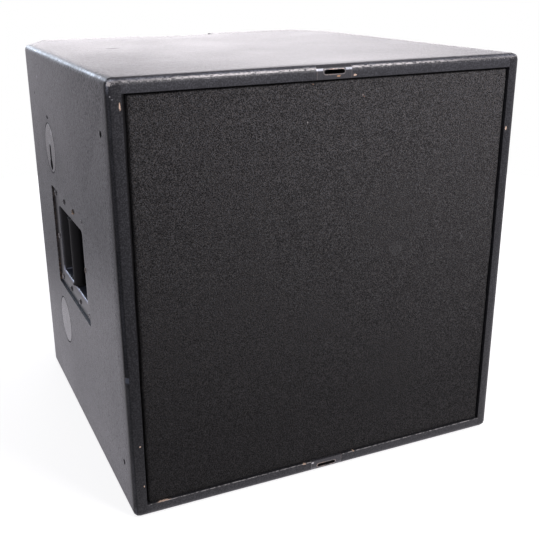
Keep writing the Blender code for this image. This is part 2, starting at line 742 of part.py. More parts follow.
def soft_suspension():
    """The rolled surround at the cone's edge and the waved spider at the voice coil."""
    lip_depth = CONE_EDGE_DEPTH - SEAT_GAP
    rim_depth = -SEAT_GAP
    roll_start = CONE_RADIUS
    roll_end = FRAME_RADIUS - FRAME_WALL
    rows = [(CONE_RADIUS - SURROUND_LIP, cone_front(CONE_RADIUS - SURROUND_LIP) - SEAT_GAP)]
    steps = SURROUND_ROLLS * WAVE_STEPS
    for step in range(steps + 1):
        share = step / steps
        radius = roll_start + (roll_end - roll_start) * share
        base = lip_depth + (rim_depth - lip_depth) * share
        lift = SURROUND_ROLL_RISE * abs(math.sin(math.pi * SURROUND_ROLLS * share))
        rows.append((radius, base - lift))
    rows.append((roll_end + SURROUND_LIP, rim_depth))
    front_line = [(radius, depth - SURROUND_WALL) for radius, depth in reversed(rows)]
    driver_turned("surround", rows + front_line, "doped_cloth")
    inner = COIL_FORMER_RADIUS + COIL_FORMER_WALL + SEAT_GAP
    outer = SPIDER_SEAT_RADIUS + SPIDER_SEAT_WIDTH - SEAT_GAP
    base = SPIDER_SEAT_DEPTH - SEAT_GAP
    rows = [(outer, base), (SPIDER_SEAT_RADIUS, base)]
    steps = SPIDER_WAVES * WAVE_STEPS
    for step in range(1, steps):
        share = step / steps
        radius = SPIDER_SEAT_RADIUS + (inner - SPIDER_SEAT_RADIUS) * share
        rows.append((radius, base - SPIDER_WAVE * math.sin(math.tau * SPIDER_WAVES * share)))
    rows.append((inner, base))
    front_line = [(radius, depth - SPIDER_WALL) for radius, depth in reversed(rows)]
    driver_turned("spider", rows + front_line, "doped_cloth")


def motor():
    """Top plate, ferrite ring, and the back plate with its vented pole."""
    top = FRAME_DEPTH + SEAT_GAP
    top_back = top + TOP_PLATE_THICKNESS
    magnet = top_back + SEAT_GAP
    magnet_back = magnet + MAGNET_THICKNESS
    plate = magnet_back + SEAT_GAP
    driver_turned("motor_top_plate", tube(MOTOR_GAP_RADIUS, TOP_PLATE_RADIUS, top, top_back), "plated_steel")
    driver_turned("magnet_ring", tube(MAGNET_BORE_RADIUS, MAGNET_RADIUS, magnet, magnet_back), "ferrite")
    profile = [
        (POLE_VENT_RADIUS, top),
        (POLE_RADIUS, top),
        (POLE_RADIUS, plate),
        (TOP_PLATE_RADIUS, plate),
        (TOP_PLATE_RADIUS, plate + BACK_PLATE_THICKNESS),
        (POLE_VENT_RADIUS, plate + BACK_PLATE_THICKNESS),
    ]
    driver_turned("motor_back_plate", profile, "plated_steel")


def tube(inner, outer, low, high):
    return [(inner, low), (outer, low), (outer, high), (inner, high)]


def driver_terminals():
    """The terminal block under the back of the frame."""
    high = DRIVER_RISE - SPIDER_SEAT_RADIUS - FRAME_WALL - SEAT_GAP
    front = FRAME_FACE + TERMINAL_DEPTH
    low_corner = (-TERMINAL_WIDE / 2, front, high - TERMINAL_TALL)
    high_corner = (TERMINAL_WIDE / 2, front + TERMINAL_LONG, high)
    piece("driver_terminals", block("driver_terminals", low_corner, high_corner), "moulded_nylon")


def internal_lead():
    """The lead from the right-hand socket to the driver's terminals."""
    start = Vector((SOCKET_SPREAD / 2, socket_back() - SEAT_GAP, PLATE_RISE))
    terminal_low = DRIVER_RISE - SPIDER_SEAT_RADIUS - FRAME_WALL - SEAT_GAP - TERMINAL_TALL
    terminal_back = FRAME_FACE + TERMINAL_DEPTH + TERMINAL_LONG
    end = Vector((0, terminal_back + SEAT_GAP, terminal_low + TERMINAL_TALL / 2))
    straight = Vector((0, LEAD_STRAIGHT, 0))
    before = start - straight
    after = end + straight
    middle = (before + after) / 2 - Vector((0, 0, LEAD_SAG))
    points = smooth_route([start, before, middle, after, end], LEAD_SPACING)
    curve = bpy.data.curves.new("speaker_lead", "CURVE")
    curve.dimensions = "3D"
    curve.bevel_depth = LEAD_RADIUS
    curve.bevel_resolution = LEAD_STEPS
    curve.use_fill_caps = True
    spline = curve.splines.new("POLY")
    spline.points.add(len(points) - 1)
    for point, place in zip(spline.points, points):
        point.co = (*place, 1.0)
    curve.materials.append(finish("cable_jacket"))
    linked("speaker_lead", curve)


def smooth_route(route, spacing):
    """Points along a smooth curve through the route, about one spacing apart, straight at both ends."""
    points = [route[0]]
    for index in range(len(route) - 1):
        before = route[index - 1] if index else 2 * route[0] - route[1]
        after = route[index + 2] if index + 2 < len(route) else 2 * route[-1] - route[-2]
        start, end = route[index], route[index + 1]
        count = max(1, round((end - start).length / spacing))
        for step in range(1, count + 1):
            points.append(blended(before, start, end, after, step / count))
    return points


def blended(before, start, end, after, share):
    """One point of a cubic curve from start to end, whose tangents follow the points before and after them."""
    span = (end - start).length
    start_tangent = (end - before).normalized() * span
    end_tangent = (after - start).normalized() * span
    squared, cubed = share ** 2, share ** 3
    return (
        (2 * cubed - 3 * squared + 1) * start
        + (cubed - 2 * squared + share) * start_tangent
        + (3 * squared - 2 * cubed) * end
        + (cubed - squared) * end_tangent
    )


# Handles and discs in the side panels


def side_prism(name, side, outline, depth_from, depth_to):
    """An outline of (y, z) pairs extruded inwards from a side panel's face, between two depths."""
    ends = sorted((side * (WIDTH / 2 - depth_from), side * (WIDTH / 2 - depth_to)))
    return prism(name, outline, ends[0], ends[1], "X")


def handle(boards, side, side_name):
    """A pressed dish with its flange let into the panel, ten screw heads and an upright grip bar."""
    middle = (FRONT + HANDLE_BACK, HANDLE_RISE)
    panel = boards[f"{side_name}_panel"]
    sheet_back = HANDLE_SUNK + HANDLE_SHEET
    flange = rectangle(*middle, HANDLE_PLATE_LONG, HANDLE_PLATE_TALL, HANDLE_PLATE_CORNER)
    body_long = HANDLE_OPENING_LONG + 2 * HANDLE_SHEET
    body_tall = HANDLE_OPENING_TALL + 2 * HANDLE_SHEET
    body_corner = HANDLE_OPENING_CORNER + HANDLE_SHEET
    body = rectangle(*middle, body_long, body_tall, body_corner)
    hollow = rectangle(*middle, HANDLE_OPENING_LONG, HANDLE_OPENING_TALL, HANDLE_OPENING_CORNER)
    dish_back = HANDLE_SUNK + HANDLE_DISH_DEPTH
    name = f"handle_dish_{side_name}"
    dish = piece(name, side_prism(name, side, flange, HANDLE_SUNK, sheet_back), "painted_steel")
    box = helper(f"{name} box", side_prism(f"{name} box", side, body, sheet_back - HANDLE_SHEET / 2, dish_back))
    combine(dish, box, "UNION")
    inner = side_prism(f"{name} hollow", side, hollow, -OVERCUT, dish_back - HANDLE_SHEET)
    cut(dish, helper(f"{name} hollow", inner))
    combine(dish, handle_screw_heads(side, side_name), "UNION")
    gap = 2 * SEAT_GAP
    pocket = rectangle(*middle, HANDLE_PLATE_LONG + gap, HANDLE_PLATE_TALL + gap, HANDLE_PLATE_CORNER)
    passage = rectangle(*middle, body_long + gap, body_tall + gap, body_corner)
    pocket = side_prism(f"{name} pocket", side, pocket, -OVERCUT, sheet_back + SEAT_GAP)
    passage = side_prism(f"{name} passage", side, passage, -OVERCUT, BOARD + OVERCUT)
    cut(panel, helper(f"{name} pocket", pocket), helper(f"{name} passage", passage))
    name = f"handle_grip_{side_name}"
    low = HANDLE_RISE - HANDLE_OPENING_TALL / 2 + SEAT_GAP
    centre = (side * (WIDTH / 2 - GRIP_SUNK - GRIP_RADIUS), middle[0], low)
    length = HANDLE_OPENING_TALL - 2 * SEAT_GAP
    piece(name, rod(name, centre, (0, 0, 1), GRIP_RADIUS, length, 2 * SMALL_STEPS), "painted_steel", smooth=True)


def handle_screw_places():
    """Places (y, z) of the ten screws: a row along each long edge and one in the middle of each short edge."""
    places = []
    last = HANDLE_SCREW_COLUMNS - 1
    for column in range(HANDLE_SCREW_COLUMNS):
        along = FRONT + HANDLE_BACK + (column - last / 2) * HANDLE_SCREW_PITCH
        lifts = (-1, 0, 1) if column in (0, last) else (-1, 1)
        places.extend((along, HANDLE_RISE + lift * HANDLE_SCREW_ROW_RISE) for lift in lifts)
    return places


def handle_screw_heads(side, side_name):
    """The screw heads, sunk half a sheet into the flange so that they are one body with it."""
    form = bmesh.new()
    bite = HANDLE_SHEET / 2
    for along, up in handle_screw_places():
        middle = (side * (WIDTH / 2 - HANDLE_SUNK), along, up)
        profile = [
            (0, -HANDLE_SCREW_HEAD_HEIGHT),
            (HANDLE_SCREW_HEAD_RADIUS * (1 - SCREW_CROWN / 2), -HANDLE_SCREW_HEAD_HEIGHT),
            (HANDLE_SCREW_HEAD_RADIUS, -HANDLE_SCREW_HEAD_HEIGHT * (1 - SCREW_CROWN)),
            (HANDLE_SCREW_HEAD_RADIUS, bite),
            (0, bite),
        ]
        form.from_mesh(turned("head", profile, middle, (-side, 0, 0), SCREW_STEPS))
    name = f"handle screw heads {side_name}"
    return helper(name, closed_mesh(name, form))


def keyhole_cup(boards, side, side_name):
    """A closed steel cup through the panel: its face has the keyhole, its flange bears on the panel's inside."""
    name = f"keyhole_cup_{side_name}"
    middle = (side * WIDTH / 2, FRONT + DISC_BACK, KEYHOLE_RISE)
    inner = DISC_RADIUS - KEYHOLE_CUP_WALL
    flange = BOARD + SEAT_GAP
    profile = [
        (0, 0),
        (DISC_RADIUS, 0),
        (DISC_RADIUS, flange),
        (KEYHOLE_FLANGE_RADIUS, flange),
        (KEYHOLE_FLANGE_RADIUS, flange + KEYHOLE_FLANGE_THICKNESS),
        (DISC_RADIUS, flange + KEYHOLE_FLANGE_THICKNESS),
        (DISC_RADIUS, KEYHOLE_CUP_DEPTH),
        (0, KEYHOLE_CUP_DEPTH),
    ]
    cup = piece(name, turned(name, profile, middle, (-side, 0, 0), DISC_STEPS), "rigging_steel", smooth=True)
    start = (side * (WIDTH / 2 - DISC_THICKNESS), middle[1], middle[2])
    length = KEYHOLE_CUP_DEPTH - DISC_THICKNESS - KEYHOLE_CUP_WALL
    hollow = rod(f"{name} hollow", start, (-side, 0, 0), inner, length, DISC_STEPS)
    slot = side_prism(f"{name} slot", side, keyhole_outline(), -OVERCUT, DISC_THICKNESS + OVERCUT)
    cut(cup, helper(f"{name} hollow", hollow), helper(f"{name} slot", slot))
    outer = (side * (WIDTH / 2 + OVERCUT), middle[1], middle[2])
    bore = rod(f"{name} bore", outer, (-side, 0, 0), DISC_RADIUS + SEAT_GAP, BOARD + 2 * OVERCUT, DISC_STEPS)
    cut(boards[f"{side_name}_panel"], helper(f"{name} bore", bore))


def keyhole_outline():
    """The keyhole: a wide round end below, where the stud goes in, and a narrow slot above, where it locks."""
    middle = FRONT + DISC_BACK
    wide_rise = KEYHOLE_RISE - KEYHOLE_WIDE_DROP
    narrow_rise = KEYHOLE_RISE + KEYHOLE_NARROW_LIFT
    join = math.asin(KEYHOLE_NARROW_RADIUS / KEYHOLE_WIDE_RADIUS)
    outline = []
    for step in range(CROWN_STEPS + 1):
        angle = math.pi * step / CROWN_STEPS
        across = KEYHOLE_NARROW_RADIUS * math.cos(angle)
        outline.append((middle + across, narrow_rise + KEYHOLE_NARROW_RADIUS * math.sin(angle)))
    steps = 2 * CROWN_STEPS
    for step in range(steps + 1):
        angle = math.pi / 2 + join + (math.tau - 2 * join) * step / steps
        across = KEYHOLE_WIDE_RADIUS * math.cos(angle)
        outline.append((middle + across, wide_rise + KEYHOLE_WIDE_RADIUS * math.sin(angle)))
    return outline


def blanking_disc(boards, side, side_name):
    """A flush disc that closes the second flying position."""
    name = f"blanking_disc_{side_name}"
    middle = (side * WIDTH / 2, FRONT + DISC_BACK, BLANK_RISE)
    disc = rod(name, middle, (-side, 0, 0), DISC_RADIUS, DISC_THICKNESS, DISC_STEPS)
    piece(name, disc, "rigging_steel", smooth=True)
    outer = (side * (WIDTH / 2 + OVERCUT), middle[1], middle[2])
    depth = OVERCUT + DISC_THICKNESS + SEAT_GAP
    seat = rod(f"{name} seat", outer, (-side, 0, 0), DISC_RADIUS + SEAT_GAP, depth, DISC_STEPS)
    cut(boards[f"{side_name}_panel"], helper(f"{name} seat", seat))


# Slotted plates in the front rim and in the rear edge


def mirrored(outline, flip):
    """The (y, z) outline itself, or its mirror image for the bottom of the box."""
    return [(along, HEIGHT - up) for along, up in outline] if flip else outline


def tongue(wide, edge, away, straight, crown):
    """Plan outline of a plate that starts outside an edge of the box and ends in a shallow crown."""
    outline = [(-wide / 2, edge - away * 2 * OVERCUT), (wide / 2, edge - away * 2 * OVERCUT)]
    for step in range(CROWN_STEPS + 1):
        share = 1 - 2 * step / CROWN_STEPS
        outline.append((wide / 2 * share, edge + away * (straight + crown * (1 - share ** 2))))
    return outline


def catch_plate(boards, outside, place, flip):
    """A bent plate round the middle of the front rim, with a slot for a hook of the transport cover."""
    name = f"front_catch_plate_{place}"
    reach = CATCH_WING + CATCH_WING_CROWN + OVERCUT
    profile = [
        (FRONT - OVERCUT, HEIGHT - BOARD),
        (FRONT + CATCH_PLATE, HEIGHT - BOARD),
        (FRONT + CATCH_PLATE, HEIGHT - CATCH_PLATE - CATCH_INNER_CHAMFER),
        (FRONT + CATCH_PLATE + CATCH_INNER_CHAMFER, HEIGHT - CATCH_PLATE),
        (FRONT + reach, HEIGHT - CATCH_PLATE),
        (FRONT + reach, HEIGHT + OVERCUT),
        (FRONT - OVERCUT, HEIGHT + OVERCUT),
    ]
    plate = piece(name, prism(name, mirrored(profile, flip), -CATCH_WIDE, CATCH_WIDE, "X"), "rigging_steel")
    outline = tongue(CATCH_WIDE, FRONT, 1, CATCH_WING, CATCH_WING_CROWN)
    combine(plate, plan_cutter(f"{name} outline", outline), "INTERSECT")
    combine(plate, outside, "INTERSECT")
    slot_rise = BOARD / 2 if flip else HEIGHT - BOARD / 2
    slot = rectangle(0, slot_rise, CATCH_SLOT_LONG, CATCH_SLOT_TALL, CATCH_SLOT_TALL / 2)
    through = CATCH_PLATE + OVERCUT
    cut(plate, helper(f"{name} slot", prism(f"{name} slot", slot, FRONT - OVERCUT, FRONT + through, "Y")))
    seat = [
        (FRONT - 2 * OVERCUT, HEIGHT - BOARD - OVERCUT),
        (FRONT + CATCH_PLATE + SEAT_GAP, HEIGHT - BOARD - OVERCUT),
        (FRONT + CATCH_PLATE + SEAT_GAP, HEIGHT - CATCH_PLATE - CATCH_INNER_CHAMFER - SEAT_GAP),
        (FRONT + CATCH_PLATE + CATCH_INNER_CHAMFER + SEAT_GAP, HEIGHT - CATCH_PLATE - SEAT_GAP),
        (FRONT + reach, HEIGHT - CATCH_PLATE - SEAT_GAP),
        (FRONT + reach, HEIGHT + 2 * OVERCUT),
        (FRONT - 2 * OVERCUT, HEIGHT + 2 * OVERCUT),
    ]
    seat = helper(f"{name} seat", prism(f"{name} seat", mirrored(seat, flip), -CATCH_WIDE, CATCH_WIDE, "X"))
    grown = tongue(CATCH_WIDE + 2 * SEAT_GAP, FRONT, 1, CATCH_WING + SEAT_GAP, CATCH_WING_CROWN)
    combine(seat, plan_cutter(f"{name} seat outline", grown), "INTERSECT")
    pocket = rectangle(0, slot_rise, CATCH_POCKET_LONG, CATCH_POCKET_TALL)
    pocket = prism(f"{name} pocket", pocket, FRONT, FRONT + CATCH_PLATE + CATCH_POCKET_DEPTH, "Y")
    cut(boards[f"{place}_panel"], seat, helper(f"{name} pocket", pocket))


def link_plate(boards, place, flip):
    """A bent plate sunk in the middle of the rear edge, with a slot for a link to the next cabinet."""
    name = f"rear_link_plate_{place}"
    reach = LINK_WING + LINK_WING_CROWN + OVERCUT
    face = HEIGHT - LINK_SUNK
    back = REAR - LINK_SUNK
    profile = [
        (REAR - reach, face),
        (back - LINK_CORNER_CHAMFER, face),
        (back, face - LINK_CORNER_CHAMFER),
        (back, HEIGHT - LINK_DROP),
        (back - LINK_PLATE, HEIGHT - LINK_DROP),
        (back - LINK_PLATE, face - LINK_PLATE - LINK_CORNER_CHAMFER / 2),
        (back - LINK_PLATE - LINK_CORNER_CHAMFER / 2, face - LINK_PLATE),
        (REAR - reach, face - LINK_PLATE),
    ]
    plate = piece(name, prism(name, mirrored(profile, flip), -LINK_WIDE, LINK_WIDE, "X"), "rigging_steel")
    outline = tongue(LINK_WIDE, REAR, -1, LINK_WING, LINK_WING_CROWN)
    combine(plate, plan_cutter(f"{name} outline", outline), "INTERSECT")
    slot_rise = LINK_SLOT_DROP if flip else HEIGHT - LINK_SLOT_DROP
    slot = rectangle(0, slot_rise, LINK_SLOT_LONG, LINK_SLOT_TALL, LINK_SLOT_TALL / 2)
    inner = back - LINK_PLATE
    cut(plate, helper(f"{name} slot", prism(f"{name} slot", slot, inner - OVERCUT / 2, REAR + OVERCUT, "Y")))
    seat = [
        (REAR - reach, HEIGHT + 2 * OVERCUT),
        (REAR + 2 * OVERCUT, HEIGHT + 2 * OVERCUT),
        (REAR + 2 * OVERCUT, HEIGHT - LINK_DROP - SEAT_GAP),
        (inner - SEAT_GAP, HEIGHT - LINK_DROP - SEAT_GAP),
        (inner - SEAT_GAP, face - LINK_PLATE - LINK_CORNER_CHAMFER / 2 - SEAT_GAP),
        (inner - LINK_CORNER_CHAMFER / 2 - SEAT_GAP, face - LINK_PLATE - SEAT_GAP),
        (REAR - reach, face - LINK_PLATE - SEAT_GAP),
    ]
    seat = helper(f"{name} seat", prism(f"{name} seat", mirrored(seat, flip), -LINK_WIDE, LINK_WIDE, "X"))
    grown = tongue(LINK_WIDE + 2 * SEAT_GAP, REAR, -1, LINK_WING + SEAT_GAP, LINK_WING_CROWN)
    combine(seat, plan_cutter(f"{name} seat outline", grown), "INTERSECT")
    pocket_long = LINK_SLOT_LONG + 2 * LINK_POCKET_MARGIN
    pocket = rectangle(0, slot_rise, pocket_long, LINK_SLOT_TALL + 2 * LINK_POCKET_MARGIN)
    pocket = prism(f"{name} pocket", pocket, inner - LINK_POCKET_DEPTH, REAR, "Y")
    cut(boards["rear_panel"], seat, helper(f"{name} pocket", pocket))
    cut(boards[f"{place}_panel"], seat)


def plan_cutter(name, outline):
    return helper(name, prism(name, outline, -4 * OVERCUT, HEIGHT + 4 * OVERCUT))


# Rear connector plate


def socket_back():
    return REAR - PLATE_SUNK - SOCKET_LENGTH


def connector_plate(boards):
    """A sunk steel plate with two locking loudspeaker sockets and four screws."""
    face = REAR - PLATE_SUNK
    back = face - PLATE_THICKNESS
    outline = rectangle(0, PLATE_RISE, PLATE_WIDE, PLATE_TALL)
    plate = piece("connector_plate", prism("connector_plate", outline, back, face, "Y"), "painted_steel")
    gap = 2 * SEAT_GAP
    seat = rectangle(0, PLATE_RISE, PLATE_WIDE + gap, PLATE_TALL + gap)
    seat = prism("connector seat", seat, back - SEAT_GAP, REAR + OVERCUT, "Y")
    cutout = rectangle(0, PLATE_RISE, PLATE_CUTOUT_WIDE, PLATE_CUTOUT_TALL)
    cutout = prism("connector cutout", cutout, REAR - BOARD - OVERCUT, REAR, "Y")
    cut(boards["rear_panel"], helper("connector seat", seat), helper("connector cutout", cutout))
    for side, name in ((-1, "speaker_socket_left"), (1, "speaker_socket_right")):
        across = side * SOCKET_SPREAD / 2
        flange = rectangle(across, PLATE_RISE, SOCKET_FLANGE_WIDE, SOCKET_FLANGE_TALL)
        low = face + SEAT_GAP
        socket = prism(name, flange, low, low + SOCKET_FLANGE_THICKNESS, "Y")
        socket = piece(name, socket, "moulded_nylon")
        inwards = (0, -1, 0)
        start = (across, low + SOCKET_FLANGE_THICKNESS / 2, PLATE_RISE)
        length = start[1] - socket_back()
        body = rod(f"{name} body", start, inwards, SOCKET_RADIUS, length, 2 * SMALL_STEPS)
        combine(socket, helper(f"{name} body", body), "UNION")
        mouth = (across, REAR + OVERCUT, PLATE_RISE)
        depth = OVERCUT + PLATE_SUNK + SOCKET_BORE_DEPTH
        bore = rod(f"{name} bore", mouth, inwards, SOCKET_BORE_RADIUS, depth, 2 * SMALL_STEPS)
        cut(socket, helper(f"{name} bore", bore))
        hole = rod(f"{name} hole", mouth, inwards, SOCKET_RADIUS + SEAT_GAP, 2 * BOARD, 2 * SMALL_STEPS)
        cut(plate, helper(f"{name} hole", hole))
    connector_screws(plate, boards["rear_panel"])


def connector_screws(plate, rear_panel):
    form = bmesh.new()
    seat = REAR - PLATE_SUNK + SEAT_GAP
    for number, (side, lift) in enumerate(((-1, -1), (1, -1), (-1, 1), (1, 1)), start=1):
        across = side * (PLATE_WIDE / 2 - PLATE_SCREW_INSET)
        up = PLATE_RISE + lift * (PLATE_TALL / 2 - PLATE_SCREW_INSET)
        name = f"connector_screw_{number}"
        profile = screw_profile(
            PLATE_SCREW_HEAD_RADIUS, PLATE_SCREW_HEAD_HEIGHT, PLATE_SCREW_RADIUS, PLATE_SCREW_LENGTH
        )
        piece(name, turned(name, profile, (across, seat, up), (0, -1, 0), SCREW_STEPS), "zinc_screw", smooth=True)
        length = PLATE_SCREW_LENGTH + OVERCUT + SEAT_GAP
        start = (across, seat + OVERCUT, up)
        form.from_mesh(rod("hole", start, (0, -1, 0), PLATE_SCREW_RADIUS + SEAT_GAP, length, SCREW_STEPS))
    holes = helper("connector screw holes", closed_mesh("connector screw holes", form))
    cut(plate, holes)
    cut(rear_panel, holes)


def build():
    clear_scene()
    outside = envelope()
    boards = carcass(outside)
    for side, side_name in ((-1, "left"), (1, "right")):
        handle(boards, side, side_name)
        keyhole_cup(boards, side, side_name)
        blanking_disc(boards, side, side_name)
    for place, flip in (("top", False), ("bottom", True)):
        catch_plate(boards, outside, place, flip)
        link_plate(boards, place, flip)
    connector_plate(boards)
    port_boards()
    window_brace()
    grille(boards)
    driver_frame(baffle())
    cone_set()
    soft_suspension()
    motor()
    driver_terminals()
    internal_lead()


build()
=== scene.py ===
"""Looks of the loudspeaker cabinet: materials, soft and detailed pieces, light and camera.

Lengths are in metres. Colours are linear red, green and blue.
"""

import math
from functools import cached_property, partial, reduce

import bmesh
import bpy
from mathutils import Matrix, Vector, noise

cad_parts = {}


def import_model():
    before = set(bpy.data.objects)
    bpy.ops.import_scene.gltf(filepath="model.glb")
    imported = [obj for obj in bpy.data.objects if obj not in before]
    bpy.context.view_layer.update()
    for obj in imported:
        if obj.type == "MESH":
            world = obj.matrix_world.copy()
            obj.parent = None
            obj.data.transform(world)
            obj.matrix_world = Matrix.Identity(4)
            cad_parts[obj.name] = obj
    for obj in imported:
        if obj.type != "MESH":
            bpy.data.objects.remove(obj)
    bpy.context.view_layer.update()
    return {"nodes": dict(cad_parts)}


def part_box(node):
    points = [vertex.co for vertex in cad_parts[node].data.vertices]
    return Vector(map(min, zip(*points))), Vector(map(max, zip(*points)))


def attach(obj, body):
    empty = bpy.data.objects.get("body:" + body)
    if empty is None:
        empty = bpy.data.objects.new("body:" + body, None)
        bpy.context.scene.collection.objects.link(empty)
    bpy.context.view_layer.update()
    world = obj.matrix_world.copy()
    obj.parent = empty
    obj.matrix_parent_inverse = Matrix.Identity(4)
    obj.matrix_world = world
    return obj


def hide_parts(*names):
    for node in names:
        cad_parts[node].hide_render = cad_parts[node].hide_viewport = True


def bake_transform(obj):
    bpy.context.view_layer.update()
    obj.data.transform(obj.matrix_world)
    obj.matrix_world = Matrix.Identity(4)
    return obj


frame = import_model()
NODES = frame["nodes"]
CABINET = "cabinet"
SIDES = ((-1, "left"), (1, "right"))

# Sizes of the box
WIDTH = 0.580
HEIGHT = 0.580
DEPTH = 0.625
BOARD = 0.018
BEVEL_ACROSS = 0.040
BEVEL_ALONG = 0.090
FRONT = -DEPTH / 2
REAR = DEPTH / 2
MIDDLE_RISE = HEIGHT / 2

# Sharpest edges in degrees that are shaded smooth, on this script's pieces and on the CAD ones
SMOOTH_ANGLE = 40
DRESSED_ANGLE = 35

# Camera: place, aim and lens fitted to the photograph's outlines
CAMERA_PLACE = (-0.51408, -1.22352, 0.68723)
CAMERA_YAW = 0.40745
CAMERA_PITCH = 0.34171
CAMERA_ROLL = -0.01403
CAMERA_LENS = 54.93
CAMERA_SHIFT = (0.04115, -0.00718)

# Lamps: name, place, aim, width, height, radiance and colour
SOFT_BOXES = (
    ("key softbox", (0.50, -1.42, 1.53), (0, -0.3, 0.45), 0.50, 0.42, 25.0, (1.0, 0.955, 0.98)),
    ("back softbox", (2.25, 3.2, 1.55), (0.2, 0, 0.55), 5.2, 1.8, 3.0, (1.0, 0.955, 0.985)),
    ("left back softbox", (-0.80, 3.2, 1.65), (-0.2, 0, 0.55), 1.2, 1.25, 5.2, (0.76, 0.87, 1.0)),
    ("low back softbox", (0.72, 3.1, 1.12), (-0.2, -0.25, 0.58), 0.9, 0.45, 1.5, (1.0, 0.955, 0.985)),
)

# Studio: tint of its walls and floor in reflections, and the floor itself
STUDIO_TINT = (0.965, 0.925, 1.0)
WHITE = (1, 1, 1)
AMBIENT = 0.42
FLOOR_RADIUS = 1.8
FLOOR_STEPS = 96
FLOOR_DROP = 0.0005
FLOOR_COLOUR = (0.82, 0.82, 0.82)
FLOOR_SHADOWED = (0.40, 0.40, 0.40)
FLOOR_GLOW = 0.82

# Foam sheet, its snags (height and size), and its flecks (place, size and colour)
FOAM_STEP = 0.005
FOAM_SIDE_ROLLS = (0.0045, 0.0025)
FOAM_END_ROLLS = (0.0008, 0.003)
FOAM_ROLL_SHARES = (0.0, 0.08, 0.25, 0.55)
FOAM_DEEPEST = 0.0055
FOAM_WAVE = 0.0005
FOAM_WOBBLE = 0.0007
FOAM_BORDER = 0.02
FOAM_BOTTOM_DROP = 0.0019
FOAM_SHIFT = 0.0009
FOAM_LEFT_TAPER = 0.0036
FOAM_SUNK = 0.003
FOAM_SNAGS = ((0.318, 0.0016), (0.222, 0.0012))
FOAM_SNAG_LENGTH = 0.004
FOAM_FLECKS = (
    (-0.0352, 0.5105, 0.0012, (0.30, 0.29, 0.28)),
    (-0.0280, 0.5570, 0.0008, (0.30, 0.17, 0.10)),
    (0.0435, 0.5395, 0.0014, (0.22, 0.19, 0.18)),
    (0.0455, 0.5375, 0.0007, (0.42, 0.18, 0.09)),
)

# Handle plate and the steps of its edge (inset and depth), dish, grip and screws
HANDLE_BACK = -0.0215
HANDLE_RISE = 0.290
HANDLE_PLATE = (0.217, 0.163)
HANDLE_PLATE_CORNER = 0.004
HANDLE_OPENING = (0.162, 0.108)
HANDLE_SUNK = 0.0035
HANDLE_SHEET = 0.0015
HANDLE_PLATE_EDGE = ((0, HANDLE_SHEET), (0, 0.0004), (0.0002, 0.0001), (0.0005, 0))
HANDLE_LIP = 0.0022
HANDLE_FLOOR_DEPTH = 0.0705
HANDLE_FLOOR_EDGE = 0.008
HANDLE_DRAFT = 0.0015
HANDLE_CORNER = 0.006
HANDLE_SCREW_PITCH = 0.0615
HANDLE_SCREW_ROW = 0.071
HANDLE_ARC_STEPS = 4
GRIP_RADIUS = 0.0125
GRIP_DEPTH = 0.0145
GRIP_FLARE = 0.0016
GRIP_FLARE_LENGTH = 0.004
GRIP_FLARE_STEPS = 4
GRIP_STEPS = 48

# Discs in the side panels, and the keyhole's two round ends (radius and drop)
DISC_BACK = 0.0655
DISC_RADIUS = 0.0378
DISC_THICKNESS = 0.005
DISC_EDGE = 0.0006
DISC_STEPS = 96
KEYHOLE_RISE = 0.4345
BLANK_RISE = 0.145
CUP_DEPTH = 0.030
CUP_WALL = 0.002
CUP_FLANGE_RADIUS = 0.050
CUP_FLANGE = 0.003
KEYHOLE_WIDE = (0.0095, 0.0255)
KEYHOLE_NARROW = (0.0055, -0.0010)
KEYHOLE_STEPS = (32, 16)
KEYHOLE_CUT_PAST = 0.002

# Fasteners: heads and shanks as (radius, length), domes as shares of a head's radius and height
HANDLE_HEAD = (0.0042, 0.0022)
GRILLE_HEAD = (0.0042, 0.0025)
GRILLE_SCREW_PLACE = (-0.275, 0.222)
GRILLE_SCREW_SEAT = 0.286
GRILLE_SHANK = (0.0022, 0.0200)
PLATE_HEAD = (0.0035, 0.0020)
PLATE_SHANK = (0.0016, 0.012)
BOLT_HEAD = (0.005, 0.006)
BOLT_SHANK = (0.003, 0.032)
BOLT_CIRCLE = 0.222
BOLT_COUNT = 8
SCREW_STEPS = 32
CROSS_DOME = ((1.0, 0.0), (1.0, 0.42), (0.955, 0.64), (0.86, 0.82), (0.72, 0.94), (0.58, 1.0))
HEXAGON_DOME = ((1.0, 0.0), (1.0, 0.90), (0.97, 0.97), (0.90, 1.0))

# Slotted plates in the front and rear edges
CATCH_SLOT = (0.030, 0.0055)
CATCH_RISES = (0.009, 0.571)
CATCH_HALF_WIDTH = 0.025
LINK_SLOT = (0.030, 0.006)
LINK_RISES = (0.026, 0.554)
LINK_HALF_WIDTH = 0.070

# Rear sockets
PLATE_RISE = 0.150
PLATE_FACE = 0.3085
PLATE_SCREWS = (0.071, 0.036)
SOCKET_SIDE = 0.030
SOCKET_FLANGE = (0.026, 0.031, 0.0025)
SOCKET_CORNER = 0.004
SOCKET_EDGE = 0.0005
SOCKET_RADIUS = 0.0118
SOCKET_BORE = 0.0096
SOCKET_BORE_DEPTH = 0.022
SOCKET_LENGTH = 0.032
SOCKET_POST = 0.0048
SOCKET_POST_DEPTH = 0.0035
SOCKET_COLLAR = 0.0008
SOCKET_KEY = 0.0014
SOCKET_KEY_ANGLE = math.radians(14)
SOCKET_STEPS = 64

